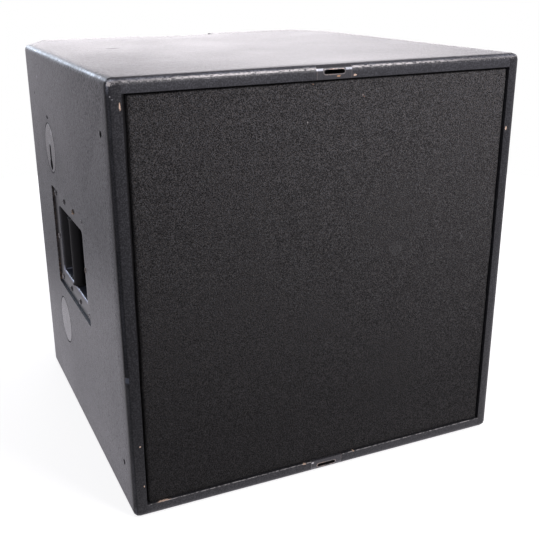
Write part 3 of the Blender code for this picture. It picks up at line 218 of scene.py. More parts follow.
# Driver. The bands are pairs of radii on its cloth rings, which the shapes don't use
FRAME_FACE = -0.2661
CONE_RADIUS = 0.186
CONE_EDGE = 0.002
CONE_NECK = 0.082
CONE_FLARE = 1.25
COIL_OUTER = 0.0503
ROLL_END = 0.2065
ROLL_RISE = 0.007
ROLL_WALL = 0.0012
ROLL_LIP = 0.008
ROLLS = 2
ROLL_STEPS = 12
ROLL_BAND = (0.1995, CONE_RADIUS)
SPIDER_SEAT = (0.106, 0.1197)
SPIDER_BACK = 0.0977
SPIDER_WAVE = 0.003
SPIDER_WAVES = 3
SPIDER_WALL = 0.001
SPIDER_BAND = (0.1020, 0.0540)
CLOTH_SECTORS = 12
GASKET_RADII = (0.2115, 0.2325)
GASKET_ROLL = 0.0006
BOLT_HOLE = 0.0035
BOLT_HOLE_STEPS = 24
RING_STEPS = 144
SEAT_GAP = 0.0003

# Colours of the painted box, some of them painted light and shade
PAINT_PATCHES = ((0.006, 0.0063, 0.0080), (0.011, 0.0114, 0.0138))
# Light grains of the spatter, partly painted highlights on the lit tops of its pebbles
PAINT_GRAIN_AND_GLINT = (0.090, 0.093, 0.106)
WORN_EDGE = (0.29, 0.31, 0.36)
# Worn left top edge, painted bluish white as a highlight towards the front
SHOULDER_WEAR_AND_HIGHLIGHT = (0.82, 0.88, 0.98)
# Scuffs, and the painted highlight below the rim's top edge
SCUFF_AND_HIGHLIGHT = (0.72, 0.70, 0.69)
CHIPPED_WOOD = (0.71, 0.53, 0.41)
DARK_MARK = (0.006, 0.005, 0.005)
LIGHT_SPECK = (0.62, 0.62, 0.66)
# Dark joints, and painted shade in hollows
DARK_JOINT_AND_SHADE = (0.003, 0.003, 0.003)
RECESS_PAINT = (0.028, 0.025, 0.024)
RECESS_WOOD = ((0.085, 0.068, 0.058), (0.24, 0.15, 0.09))
# Lower wall of the handle's recess, painted lighter as if lit from above
RECESS_SILL_LIT = (0.060, 0.068, 0.088)
PLY_PAIR = 0.0026
PLY_COLOURS = ((0.50, 0.34, 0.20), (0.30, 0.18, 0.10), (0.13, 0.075, 0.045))

# Flaws of the paint: centre and half lengths, and for the catch plates a colour
CHIPS = {
    "left_panel": (
        ((-0.2745, FRONT, 0.548), (0.0012, 0.004, 0.0048)),
        ((-0.2766, FRONT, 0.109), (0.0015, 0.004, 0.0011)),
        ((-0.2745, FRONT, 0.048), (0.0008, 0.004, 0.0014)),
    ),
    "right_panel": (((0.2754, FRONT, 0.478), (0.0016, 0.004, 0.0028)),),
    "bottom_panel": (
        ((-0.248, FRONT, 0.0185), (0.0105, 0.004, 0.0012)),
        ((-0.036, FRONT, 0.0174), (0.0032, 0.004, 0.0013)),
        ((0.0455, FRONT, 0.0178), (0.0018, 0.004, 0.0009)),
    ),
    "top_panel": (
        ((0.029, FRONT, 0.5655), (0.0026, 0.004, 0.0014)),
        ((0.074, REAR, 0.578), (0.006, 0.006, 0.004)),
    ),
}
PLATE_CHIPS = (
    (((-0.0225, FRONT, 0.0155), (0.0022, 0.004, 0.0016), (0.70, 0.69, 0.70)),),
    (((0.006, FRONT, 0.5655), (0.003, 0.004, 0.0012), (0.48, 0.28, 0.16)),),
)
MARKS = {
    "left_panel": (
        ((-WIDTH / 2, 0.1635, 0.508), (0.004, 0.003, 0.0024)),
        ((-WIDTH / 2, 0.068, 0.482), (0.004, 0.009, 0.003)),
    ),
    "top_panel": (
        ((-0.285, 0.160, 0.579), (0.006, 0.006, 0.004)),
        ((-0.180, 0.066, HEIGHT), (0.012, 0.0030, 0.004)),
        ((0.097, 0.143, HEIGHT), (0.002, 0.002, 0.004)),
        ((0.163, 0.138, HEIGHT), (0.002, 0.002, 0.004)),
        ((0.263, 0.140, HEIGHT), (0.002, 0.002, 0.004)),
    ),
}
LIGHT_SPECKS = {
    "left_panel": (
        ((-WIDTH / 2, 0.1245, 0.538), (0.004, 0.0026, 0.0022)),
        ((-0.2850, FRONT + 0.001, 0.5594), (0.0007, 0.003, 0.0012)),
        ((-0.2825, FRONT + 0.001, 0.5560), (0.0010, 0.003, 0.0006)),
    ),
}

# Painted panels and the strength of the texture on their flat faces
PANELS = {
    "top_panel": 0.25,
    "bottom_panel": 1.0,
    "left_panel": 1.0,
    "right_panel": 1.0,
    "rear_panel": 1.0,
    "rear_left_bevel_panel": 1.0,
    "rear_right_bevel_panel": 1.0,
}


# Camera and lamps


def placed(name, data):
    """A new object in the scene."""
    item = bpy.data.objects.new(name, data)
    bpy.context.scene.collection.objects.link(item)
    return item


def camera():
    look = Vector(
        (
            math.sin(CAMERA_YAW) * math.cos(CAMERA_PITCH),
            math.cos(CAMERA_YAW) * math.cos(CAMERA_PITCH),
            -math.sin(CAMERA_PITCH),
        )
    )
    right = Vector((math.cos(CAMERA_YAW), -math.sin(CAMERA_YAW), 0))
    up = right.cross(look)
    rolled_right = math.cos(CAMERA_ROLL) * right + math.sin(CAMERA_ROLL) * up
    rolled_up = -math.sin(CAMERA_ROLL) * right + math.cos(CAMERA_ROLL) * up
    turn = Matrix((rolled_right, rolled_up, -look)).transposed().to_4x4()
    data = bpy.data.cameras.new("camera")
    data.lens = CAMERA_LENS
    data.shift_x, data.shift_y = CAMERA_SHIFT
    item = placed("camera", data)
    item.matrix_world = Matrix.Translation(CAMERA_PLACE) @ turn
    bpy.context.scene.camera = item


def soft_box(name, place, aim, wide, tall, radiance, colour):
    """A rectangular lamp. A radiance of 1 is that of a white wall in full light."""
    data = bpy.data.lights.new(name, "AREA")
    data.shape = "RECTANGLE"
    data.size = wide
    data.size_y = tall
    data.energy = radiance * math.pi * wide * tall
    data.color = colour
    item = placed(name, data)
    item.location = place
    item.rotation_mode = "QUATERNION"
    item.rotation_quaternion = (Vector(aim) - Vector(place)).to_track_quat("-Z", "Y")
    item.visible_camera = False


# Nodes


class Value:
    """A node's output that takes part in plain arithmetic. Each operation adds a math node."""

    def __init__(self, graph, socket):
        self.graph = graph
        self.socket = socket

    def __add__(self, other):
        return compute("ADD", self, other)

    def __sub__(self, other):
        return compute("SUBTRACT", self, other)

    def __rsub__(self, other):
        return compute("SUBTRACT", other, self)

    def __mul__(self, other):
        return compute("MULTIPLY", self, other)

    def __abs__(self):
        return compute("ABSOLUTE", self)


def compute(operation, *values):
    graph = next(value.graph for value in values if isinstance(value, Value))
    return graph.node("Math", *values, operation=operation)


def least(*values):
    return reduce(partial(compute, "MINIMUM"), values)


def most(*values):
    return reduce(partial(compute, "MAXIMUM"), values)


def hypotenuse(first, second):
    return compute("SQRT", first * first + second * second)


def ramp(value, low, high, low_out=0.0, high_out=1.0, smooth=True):
    """low_out where value is at low, high_out where it is at high, and a smooth change between them."""
    if low > high:
        low, high, low_out, high_out = high, low, high_out, low_out
    kind = "SMOOTHSTEP" if smooth else "LINEAR"
    ends = {"From_Min": low, "From_Max": high, "To_Min": low_out, "To_Max": high_out}
    return value.graph.node("MapRange", value, interpolation_type=kind, **ends)


def mix(share, first, second):
    """Two colours, or two numbers, mixed by share."""
    colours = any(
        isinstance(value, tuple) or (isinstance(value, Value) and value.socket.type != "VALUE")
        for value in (first, second)
    )
    kind, output, skipped = ("RGBA", 2, 5) if colours else ("FLOAT", 0, 1)
    return share.graph.node("Mix", share, *[None] * skipped, first, second, output=output, data_type=kind)


def shade(colour, share):
    """A colour made darker or lighter by a number."""
    return colour.graph.node("VectorMath", colour, operation="SCALE", Scale=share)


class Graph:
    """A node tree, with short calls for the nodes that the finishes share."""

    def __init__(self, tree):
        self.tree = tree

    def feed(self, socket, value):
        """Links a Value, or sets a number or a colour. None leaves the socket as it is."""
        if isinstance(value, Value):
            self.tree.links.new(value.socket, socket)
        elif value is not None:
            socket.default_value = (*value, 1.0) if socket.type == "RGBA" else value

    def node(self, kind, *values, output=0, **named):
        """A new node's output. A name in small letters is a setting, another one is an input."""
        item = self.tree.nodes.new("ShaderNode" + kind)
        for key in [key for key in named if key.islower()]:
            setattr(item, key, named.pop(key))
        for socket, value in zip(item.inputs, values):
            self.feed(socket, value)
        for key, value in named.items():
            self.feed(item.inputs[key.replace("_", " ")], value)
        return Value(self, item.outputs[output])

    @cached_property
    def place(self):
        return self.node("TexCoord", output="Object")

    @cached_property
    def x(self):
        return self.node("SeparateXYZ", self.place, output="X")

    @cached_property
    def y(self):
        return self.node("SeparateXYZ", self.place, output="Y")

    @cached_property
    def z(self):
        return self.node("SeparateXYZ", self.place, output="Z")

    @cached_property
    def uneven(self):
        return self.noise(700, 1.0) - 0.5

    def scaled(self, x, y, z):
        """The object's coordinates stretched along each axis, for grain that runs one way."""
        return self.node("Mapping", Vector=self.place, Scale=(x, y, z))

    def noise(self, scale, detail=2.0, roughness=0.5, place=None, distortion=0.0):
        shape = {"Scale": scale, "Detail": detail, "Roughness": roughness, "Distortion": distortion}
        return self.node("TexNoise", output="Fac", Vector=place or self.place, **shape)

    def cells(self, scale):
        return self.node("TexVoronoi", Vector=self.place, Scale=scale)

    def bump(self, height, distance, under=None):
        return self.node("Bump", Distance=distance, Height=height, Normal=under)


class Finish(Graph):
    """A material whose Principled shader is fed by the calls of Graph."""

    def __init__(self, name, **constants):
        self.material = bpy.data.materials.new(name)
        self.material.use_nodes = True
        super().__init__(self.material.node_tree)
        self.set(**constants)

    def set(self, **inputs):
        shader = self.tree.nodes["Principled BSDF"]
        for key, value in inputs.items():
            self.feed(shader.inputs[key.replace("_", " ")], value)
        return self.material


# Background and floor


def ray_kinds(graph):
    """Whether the camera sees the surface, and whether a reflection or a clear thing shows it."""
    kinds = ("Is Camera Ray", "Is Glossy Ray", "Is Transmission Ray")
    camera_ray, glossy, through = (graph.node("LightPath", output=kind) for kind in kinds)
    return camera_ray, most(glossy, through)


def world():
    """White to the camera. Reflections see a white sweep near the horizon and a dim ceiling."""
    studio = bpy.data.worlds.new("studio")
    bpy.context.scene.world = studio
    studio.use_nodes = True
    graph = Graph(studio.node_tree)
    background = graph.tree.nodes["Background"]
    upward = graph.node("SeparateXYZ", graph.node("TexCoord", output="Generated"), output="Z")
    sweep = ramp(upward, 0.34, 0.66, 1.0, 0.45) * ramp(upward, -0.26, -0.13, 0.35, 0.95)
    camera_ray, mirror = ray_kinds(graph)
    strength = mix(camera_ray, mix(mirror, AMBIENT, sweep), 1.0)
    graph.feed(background.inputs["Strength"], strength)
    graph.feed(background.inputs["Color"], mix(camera_ray, STUDIO_TINT, WHITE))


def shaped(name, form):
    """A new object in the scene, with the shape of an edited form."""
    mesh = bpy.data.meshes.new(name)
    form.to_mesh(mesh)
    form.free()
    return placed(name, mesh)


def floor():
    """A pale floor that meets the white background without a seam and keeps a soft shadow."""
    form = bmesh.new()
    bmesh.ops.create_circle(form, cap_ends=True, segments=FLOOR_STEPS, radius=FLOOR_RADIUS)
    item = shaped("floor", form)
    item.location = (0, 0, -FLOOR_DROP)
    material = bpy.data.materials.new("pale floor")
    material.use_nodes = True
    graph = Graph(material.node_tree)
    graph.tree.nodes.remove(graph.tree.nodes["Principled BSDF"])
    camera_ray, mirror = ray_kinds(graph)
    before = ramp(graph.x, 0.20, -0.15) * ramp(graph.y, -0.30, -0.55)
    beside = ramp(graph.x, -0.80, -1.00)
    far = ramp(graph.y, 0.40, 0.90) * ramp(graph.y, 1.80, 1.40, 0.5, 0.95)
    seen = mix(camera_ray, 1.0 - most(before, beside, far) * 0.80, 1.0) * FLOOR_GLOW
    plain_floor = graph.node("BsdfDiffuse", Color=FLOOR_COLOUR)
    shown = graph.node("BsdfDiffuse", Color=FLOOR_SHADOWED)
    glow = graph.node("Emission", Strength=seen, Color=mix(camera_ray, STUDIO_TINT, WHITE))
    bright = graph.node("AddShader", shown, glow)
    chosen = graph.node("MixShader", most(camera_ray, mirror), plain_floor, bright)
    graph.feed(graph.tree.nodes["Material Output"].inputs["Surface"], chosen)
    item.data.materials.append(material)


# Finishes


def face_distances(graph):
    """Distances in metres to the box's outer faces: side, bevel, front, rear, and top or bottom."""
    side = WIDTH / 2 - abs(graph.x)
    ahead = graph.y - FRONT
    behind = REAR - graph.y
    slope = math.hypot(BEVEL_ACROSS, BEVEL_ALONG)
    corner = REAR - BEVEL_ALONG - graph.y
    bevel = side * (BEVEL_ALONG / slope) + corner * (BEVEL_ACROSS / slope)
    rise = least(graph.z, HEIGHT - graph.z)
    return side, bevel, ahead, behind, rise


def spot(graph, centre, size, ragged=0.35):
    """1 inside an uneven patch round a point, 0 outside it. size is its half length along each axis."""
    shifted = graph.node("VectorMath", graph.place, centre, operation="SUBTRACT")
    sized = graph.node("VectorMath", shifted, size, operation="DIVIDE")
    length = graph.node("VectorMath", sized, output="Value", operation="LENGTH")
    return ramp(length + graph.uneven * (ragged * 2), 1.0, 0.75)


def plywood(graph, depth):
    """Colour of birch plywood, whose plies show as stripes where a cut goes down through depth."""
    pale, darker, stripe = PLY_COLOURS
    grain = graph.noise(40, 4.0, 0.6, graph.scaled(1.0, 0.12, 1.0), 0.6)
    wave = compute("SINE", depth * (math.tau / PLY_PAIR))
    return mix(ramp(wave, -0.2, 0.5, 0.0, 0.55), mix(grain, pale, darker), stripe)


def edge_wear(graph, distances, fine):
    """How worn the outer edges are, from 0 to 1: most along the top, least on the upright front ones."""
    side, bevel, ahead, behind, rise = distances
    wall = least(side, bevel)
    edge = least(
        most(least(wall, ahead, behind), rise),
        most(wall, least(ahead, behind)),
        least(most(side, bevel), most(bevel, behind)) * 2.2,
    )
    band = ramp(edge + (fine - 0.5) * 0.004, 0.0054, 0.0026)
    upright = ramp(ahead, 0.014, 0.010) * ramp(rise, 0.012, 0.020)
    upper = ramp(graph.z, HEIGHT - 0.020, HEIGHT - 0.010, 0.65, 1.0)
    patches = ramp(graph.noise(23, 3.0, 0.6), 0.42, 0.60, 0.35, 1.0)
    return band * mix(upright, upper, 0.12) * patches


def front_scuffs_and_highlight(graph, ahead, fine):
    """Light marks in the rim: a painted highlight streak with loose speckle below its top edge, where the key
    lamp's reflection lies, and a thin worn line on the ledge under the foam.
    """
    # Painted highlight: a bright broken streak about 4 mm below the top edge, fading towards both ends, with
    # loose speckle round it.
    drop = abs(HEIGHT - graph.z - 0.0044)
    streaks = graph.noise(560, 3.0, 0.7, graph.scaled(0.34, 1.0, 1.0))
    near = ramp(ahead, 0.0040, 0.0026)
    highlight_streak = ramp(drop, 0.0017, 0.0007) * near * ramp(streaks, 0.36, 0.54)
    highlight_streak = highlight_streak * ramp(graph.x, -0.25, -0.17, 0.3, 1.0) * ramp(graph.x, 0.22, 0.10, 0.25, 1.0)
    speckle = ramp(streaks * 0.5 + fine * 0.5, 0.53, 0.62)
    highlight_speckle = ramp(drop, 0.0042, 0.0020) * near * speckle * 0.45
    corner = spot(graph, (-0.2855, FRONT + 0.001, 0.5730), (0.0030, 0.004, 0.0028), 0.9) * 0.65
    over = abs(graph.x) - (WIDTH / 2 - BOARD)
    ledge = ramp(most(abs(graph.z - BOARD), ahead), 0.0013, 0.0005) * ramp(over, 0.001, -0.001)
    ledge = ledge * ramp(graph.noise(190, 3.0, 0.7), 0.42, 0.58, 0.05, 0.50)
    sole = ramp(graph.z, 0.0030, 0.0012) * ramp(ahead, 0.0060, 0.0040) * 0.30
    return most(highlight_streak * 0.85, highlight_speckle, corner, ledge, sole)


def handle_surround(graph, side, colour, rough):
    """The dark joints round the discs, and the raw walls of the handle's recess, low ones orange, with its
    upward-facing lower wall coloured a lighter bluish grey as painted light.
    """
    back = graph.y - DISC_BACK
    radii = [hypotenuse(graph.z - rise, back) for rise in (KEYHOLE_RISE, BLANK_RISE)]
    rings = most(*(ramp(abs(radius - (DISC_RADIUS + 0.0006)), 0.0014, 0.0006) for radius in radii))
    colour = mix(rings * 0.85, colour, DARK_JOINT_AND_SHADE)
    rough = mix(rings, rough, 0.9)
    recess = ramp(side, 0.0006, 0.0012) * ramp(side, 0.0052, 0.0046)
    recess = recess * ramp(abs(graph.z - HANDLE_RISE), 0.090, 0.086)
    rear = ramp(graph.y, HANDLE_BACK, HANDLE_BACK + 0.010)
    low = ramp(graph.z, HANDLE_RISE - 0.030, HANDLE_RISE - 0.065)
    bare = ramp(graph.noise(130, 3.0, 0.7), 0.42, 0.64)
    # Painted light: the recess's lower wall, which faces up, is coloured a lighter bluish grey.
    lit_sill = ramp(graph.z, HANDLE_RISE - 0.0795, HANDLE_RISE - 0.0808)
    wall = mix(lit_sill, mix(bare, RECESS_PAINT, mix(low, *RECESS_WOOD)), RECESS_SILL_LIT)
    colour = mix(recess * most(rear, lit_sill), colour, wall)
    return colour, mix(recess, rough, mix(lit_sill, 0.75, 0.45))


def paint_coat(name, chips, marks, specks, handled, grit):
    """Hard textured paint: spatter, worn edges, chips down to bare wood, dark marks and light specks, with
    painted shade on the front rims and painted highlights on the spatter's grains, below the top front edge
    and on the left top edge.

    handled is for the side panels. grit is the strength of the texture on flat faces.
    """
    graph = Finish(name, IOR=1.42)
    distances = face_distances(graph)
    side, bevel, ahead, behind, rise = distances
    fine = graph.noise(650, 3.0, 0.65)
    beyond = ramp(ahead, 0.004, 0.024)
    mottle = mix(beyond, graph.noise(540, 3.0, 0.65), graph.noise(265, 3.0, 0.7))
    pebbles = graph.noise(150, 3.0, 0.6)
    worn = edge_wear(graph, distances, fine)
    colour = mix(graph.noise(55, 3.0, 0.6), *PAINT_PATCHES)
    # Light grains in the spatter, partly painted highlights standing in for the lit tops of its pebbles.
    grains_and_glints = ramp(mottle, 0.46, 0.64) * mix(beyond, 0.36, 0.66) + mix(beyond, 0.18, 0.06)
    colour = mix(grains_and_glints, colour, PAINT_GRAIN_AND_GLINT)
    # Painted shade: the upright front edges and the side rims are coloured darker, and every front rim darker
    # towards the bottom.
    upright = ramp(ahead, 0.0080, 0.0050) * ramp(side, 0.0060, 0.0040)
    front_shade = 0.62 if handled else 1.0
    front_shade = ramp(graph.z, 0.0, 0.50, 0.62 * front_shade, front_shade, smooth=False)
    colour = shade(colour, mix(beyond, front_shade, 1.0) * mix(upright, 1.0, 0.55))
    gloss = (ramp(mottle, 0.42, 0.60) - 0.45) * (mix(beyond, 0.25, 0.80) * (0.95 * grit)) + 0.5
    if handled:
        gloss = gloss + (ramp(pebbles, 0.35, 0.65) - 0.45) * beyond * 0.13
        gloss = gloss * mix(beyond, 0.75, 1.15)
    bare = worn * ramp(fine, 0.36, 0.58)
    # Painted highlight: the worn left top edge turns bluish white towards the front, standing in for the
    # reflection of a bluish lamp.
    shoulder_highlight = ramp(graph.x, -0.278, -0.284) * ramp(graph.y, -0.08, -0.28) * ramp(rise, 0.008, 0.005)
    colour = mix(bare, colour, mix(shoulder_highlight, WORN_EDGE, SHOULDER_WEAR_AND_HIGHLIGHT))
    # Scuffs on the rim and a painted highlight below its top edge
    colour = mix(front_scuffs_and_highlight(graph, ahead, fine), colour, SCUFF_AND_HIGHLIGHT)
    rough = ramp(mottle, 0.3, 0.7) * mix(beyond, 0.10, 0.26 * grit)
    rough = graph.noise(9, 2.0, 0.5) * 0.08 + rough + mix(beyond, 0.29, 0.36 - 0.14 * grit)
    rough = mix(worn, rough, 0.26)
    height = fine * 0.6 + mottle * mix(beyond, 0.45, 1.2) + pebbles * 1.3
    for flaws, ragged, tint, dull, dent in (
        (marks, 0.35, DARK_MARK, 0.8, 1.0),
        (chips, 0.6, CHIPPED_WOOD, 0.85, 1.5),
    ):
        for centre, size in flaws:
            mask = spot(graph, centre, size, ragged)
            colour = mix(mask, colour, tint)
            rough = mix(mask, rough, dull)
            height = height - mask * dent
    for centre, size in specks:
        colour = mix(spot(graph, centre, size, 0.6) * 0.4, colour, LIGHT_SPECK)
    if handled:
        colour, rough = handle_surround(graph, side, colour, rough)
    depth = least(side, bevel, behind, rise)
    raw = ramp(depth, 0.0046, 0.0052) * ramp(least(ahead, behind), 0.028, 0.032)
    colour = mix(raw, colour, plywood(graph, depth))
    normal = graph.bump(height, 0.00042 * (0.6 + 0.4 * grit))
    normal = graph.bump(graph.noise(60, 2.0), 0.0003, normal)
    graph.set(Metallic=bare * 0.6, Specular_IOR_Level=gloss * mix(upright, 1.0, 0.45))
    return graph.set(Base_Color=colour, Roughness=mix(raw, rough, 0.82), Normal=normal)


def foam_finish():
    """Open-cell grille foam: dark pores between lighter struts, coloured lighter towards its top and right as
    painted light.
    """
    graph = Finish("grille foam", Specular_IOR_Level=0.25)
    strut = ramp(graph.cells(640), 0.25, 0.75)
    grain = graph.noise(640, 3.0, 0.75)
    blotch = graph.noise(170, 3.0, 0.6)
    light = ramp(grain, 0.40, 0.68) * ramp(blotch, 0.25, 0.75, 0.7, 1.1)
    dust = mix(ramp(graph.noise(450, 1.0), 0.40, 0.60), (0.164, 0.152, 0.145), (0.142, 0.147, 0.158))
    colour = mix(light, (0.001, 0.001, 0.001), dust)
    colour = mix(strut * 0.35, colour, (0.10, 0.097, 0.098))
    # Painted light and shade: the foam is coloured darker towards its bottom and its left.
    upward = ramp(graph.z, 0.10, HEIGHT, 0.38, 1.0, smooth=False)
    across = ramp(graph.x, -0.27, 0.27, 0.78, 1.22, smooth=False)
    colour = shade(colour, upward * across)
    round_spot = spot(graph, (0.104, FRONT, 0.324), (0.012, 0.02, 0.012), 0.2)
    colour = mix(round_spot * 0.10, colour, (0.16, 0.16, 0.165))
    for x, z, size, tint in FOAM_FLECKS:
        fleck = spot(graph, (x, FRONT + FOAM_SUNK, z), (size, 0.02, size))
        colour = mix(fleck, colour, tint)
    return graph.set(Base_Color=colour, Roughness=0.95, Normal=graph.bump(strut * 0.6 + grain, 0.0008))


def plain(name, colour, roughness, grain=400.0, depth=0.00005, spread=0.25, **constants):
    """A finish with fine grain and patches of slightly different colour and gloss."""
    graph = Finish(name, **constants)
    patches = graph.noise(grain / 14, 3.0, 0.6)
    darker = tuple(value * (1 - spread) for value in colour)
    lighter = tuple(min(1.0, value * (1 + spread)) for value in colour)
    tone = mix(ramp(patches, 0.3, 0.7), darker, lighter)
    rough = (patches - 0.5) * 0.2 + roughness
    return graph.set(Base_Color=tone, Roughness=rough, Normal=graph.bump(graph.noise(grain, 3.0, 0.6), depth))


def slotted_plate(name, rise, slot, half_width, face, chips=()):
    """A black-painted rigging plate, worn to warm metal round its slot, with a painted highlight beside it
    and painted shade inside the slot.
    """
    graph = Finish(name)
    fine = graph.noise(800, 3.0, 0.65)
    broad = graph.noise(90, 3.0, 0.6)
    brushed = graph.noise(500, 2.0, 0.5, graph.scaled(0.12, 1.0, 1.0))
    across = abs(graph.x)
    long, tall = slot
    past = most(across - (long - tall) / 2, 0.0)
    reach = hypotenuse(past, graph.z - rise) - tall / 2 + (fine - 0.5) * 0.003
    depth = abs(graph.y - face)
    front = ramp(depth, 0.0024, 0.0012)
    warm = ramp(reach, 0.0013, 0.0004) * ramp(broad, 0.36, 0.56, 0.15, 0.8) * front
    ends = ramp(half_width - across + (fine - 0.5) * 0.002, 0.0010, 0.0002, 0.0, 0.35)
    height = least(graph.z, HEIGHT - graph.z)
    # Painted highlight: a bluish white band beside the slot, where the key lamp's reflection lies, faint on
    # the bottom plate.
    bend_highlight = ramp(abs(height - 0.0060), 0.0019, 0.0009) * ramp(across, 0.0150, 0.0170) * front
    bend_highlight = bend_highlight * ramp(fine, 0.28, 0.50, 0.4, 0.9) * (1.0 if rise > MIDDLE_RISE else 0.15)
    bare = most(warm, ends * ramp(fine, 0.30, 0.50))
    metal = mix(ramp(broad, 0.40, 0.62), (0.42, 0.40, 0.40), (0.40, 0.27, 0.20))
    metal = mix(brushed * 0.5, metal, (0.62, 0.60, 0.60))
    colour = mix(bare, mix(broad, (0.022, 0.022, 0.025), (0.056, 0.056, 0.062)), metal)
    colour = mix(bend_highlight, colour, (0.56, 0.59, 0.66))
    for centre, size, tint in chips:
        colour = mix(spot(graph, centre, size, 0.5), colour, tint)
    # Painted shade: the slot's walls, more than about a millimetre below the face, are coloured almost black.
    hollow_shade = ramp(depth, 0.0008, 0.0020) * ramp(reach, 0.0010, 0.0004)
    colour = mix(hollow_shade, colour, (0.002, 0.002, 0.002))
    rough = mix(bare, fine * 0.12 + 0.22, brushed * 0.2 + 0.25)
    rough = mix(ramp(depth, 0.0085, 0.0110), rough, 0.40)
    graph.set(Metallic=bare * 0.85, Normal=graph.bump(fine - bare * 0.8, 0.00006))
    return graph.set(Base_Color=colour, Roughness=mix(hollow_shade, rough, 0.9))


def disc_finish(name, rise, keyed):
    """Black disc rubbed at its rim, and round the keyhole where it has one, with painted shade on its faces
    that lie below the side panel's face.
    """
    graph = Finish(name, IOR=1.45, Specular_IOR_Level=0.40)
    fine = graph.noise(700, 3.0, 0.65)
    broad = graph.noise(70, 3.0, 0.6)
    lift = graph.z - rise
    back = graph.y - DISC_BACK
    rim = ramp(hypotenuse(lift, back) + (fine - 0.5) * 0.003, 0.0362, 0.0374)
    colour = mix(broad, (0.030, 0.030, 0.033), (0.060, 0.060, 0.064))
    colour = mix(ramp(fine, 0.55, 0.72), colour, (0.090, 0.090, 0.096))
    worn = rim * ramp(broad, 0.40, 0.62, 0.1, 0.5)
    if keyed:
        wide_radius, wide_drop = KEYHOLE_WIDE
        reach = hypotenuse(lift + wide_drop, back) + (fine - 0.5) * 0.002
        mouth = ramp(reach, wide_radius + 0.002, wide_radius)
        slot = ramp(abs(back), 0.0075, 0.0060) * ramp(abs(lift), 0.020, 0.006)
        chip = spot(graph, (-WIDTH / 2, DISC_BACK - 0.019, rise + 0.028), (0.01, 0.004, 0.006))
        worn = most(worn, mouth * 0.5, slot * 0.4, chip * 0.8)
    # Painted shade: faces more than about a millimetre below the side, in the keyhole and round the disc's
    # edge, are coloured almost black.
    hollow_shade = ramp(WIDTH / 2 - abs(graph.x), 0.0004, 0.0012)
    worn = worn * (1.0 - hollow_shade)
    colour = mix(hollow_shade, mix(worn, colour, (0.32, 0.33, 0.35)), DARK_JOINT_AND_SHADE)
    rough = fine * 0.10 + broad * 0.10 + hollow_shade * 0.5 + 0.18
    graph.set(Metallic=worn * 0.6, Normal=graph.bump(fine, 0.00004))
    return graph.set(Base_Color=colour, Roughness=rough)


def handle_finish(name, side):
    """Black handle pressing: a rubbed lower lip with a painted highlight, dull borders, painted shade inside
    the dish, and a floor coloured a lighter bluish grey as painted light.
    """
    graph = Finish(name, IOR=1.45)
    fine = graph.noise(650, 3.0, 0.65)
    broad = graph.noise(60, 3.0, 0.6)
    depth = WIDTH / 2 - graph.x * side
    rise = graph.z - HANDLE_RISE
    back = graph.y - HANDLE_BACK

    def past(size):
        half_long, half_tall = size[0] / 2, size[1] / 2
        return most(abs(back) - half_long, abs(rise) - half_tall) + (fine - 0.5) * 0.003

    colour = mix(broad, (0.020, 0.020, 0.022), (0.040, 0.040, 0.044))
    colour = mix(ramp(fine, 0.52, 0.70), colour, (0.075, 0.074, 0.080))
    # Painted shade: the dish is coloured darker more than about 7 mm inside.
    inside = ramp(depth, 0.0060, 0.0085)
    colour = mix(inside, colour, mix(broad, (0.004, 0.004, 0.005), (0.010, 0.010, 0.012)))
    # Painted light: the dish's floor, which faces up, is coloured a lighter bluish grey.
    lit_floor = inside * ramp(rise, -0.0505, -0.0520)
    colour = mix(lit_floor, colour, mix(broad, (0.030, 0.036, 0.055), (0.014, 0.016, 0.024)))
    seam = lit_floor * ramp(abs(back - 0.0775), 0.0016, 0.0006)
    # Rubbed lip, with a painted highlight along its lower edge, where it is strongest.
    lip = ramp(past(HANDLE_OPENING), 0.0030, 0.0014) * ramp(depth, 0.0062, 0.0045)
    lip = lip * ramp(rise, -0.046, -0.053, 0.10, 1.0) * ramp(broad, 0.35, 0.55, 0.5, 1.0)
    border = ramp(past(HANDLE_PLATE), -0.0018, -0.0006) * ramp(broad, 0.42, 0.60, 0.05, 0.45)
    worn = most(most(lip, border) * ramp(fine, 0.34, 0.52, 0.4, 1.0), seam * 0.8)
    colour = mix(worn, colour, (0.34, 0.37, 0.46))
    graph.set(Metallic=worn * 0.6, Normal=graph.bump(fine, 0.00007))
    return graph.set(Base_Color=colour, Roughness=fine * 0.14 + broad * 0.12 + 0.24)


def grip_finish(name, side):
    """Black bar with a painted highlight line down its rear flank."""
    graph = Finish(name, IOR=1.45, Specular_IOR_Level=0.15)
    fine = graph.noise(650, 3.0, 0.65)
    broad = graph.noise(60, 3.0, 0.6)
    # Painted highlight: a thin light line down the bar's rear flank.
    line = ramp(abs(graph.y - HANDLE_BACK - 0.0095), 0.0016, 0.0006)
    flank = ramp(WIDTH / 2 - graph.x * side, 0.0140, 0.0100) * line
    worn = flank * ramp(broad, 0.30, 0.55, 0.3, 0.9) * ramp(fine, 0.36, 0.56, 0.4, 1.0)
    colour = mix(worn, mix(broad, (0.002, 0.002, 0.0025), (0.006, 0.006, 0.007)), (0.12, 0.125, 0.15))
    return graph.set(Base_Color=colour, Roughness=fine * 0.14 + 0.50, Normal=graph.bump(fine, 0.00006))


def screw_finish(name, bright):
    """Blackened zinc heads, rubbed to warm metal on their crowns."""
    graph = Finish(name)
    fine = graph.noise(900, 3.0, 0.65)
    worn = ramp(fine + graph.noise(130, 2.0, 0.6) * 0.5, 0.72 - bright, 0.86 - bright)
    metal = mix(ramp(graph.noise(24, 1.0), 0.50, 0.62), (0.30, 0.29, 0.30), (0.42, 0.27, 0.16))
    graph.set(Metallic=worn * 0.9, Normal=graph.bump(fine, 0.00004))
    return graph.set(Base_Color=mix(worn, (0.040, 0.040, 0.043), metal), Roughness=mix(worn, 0.45, 0.30))


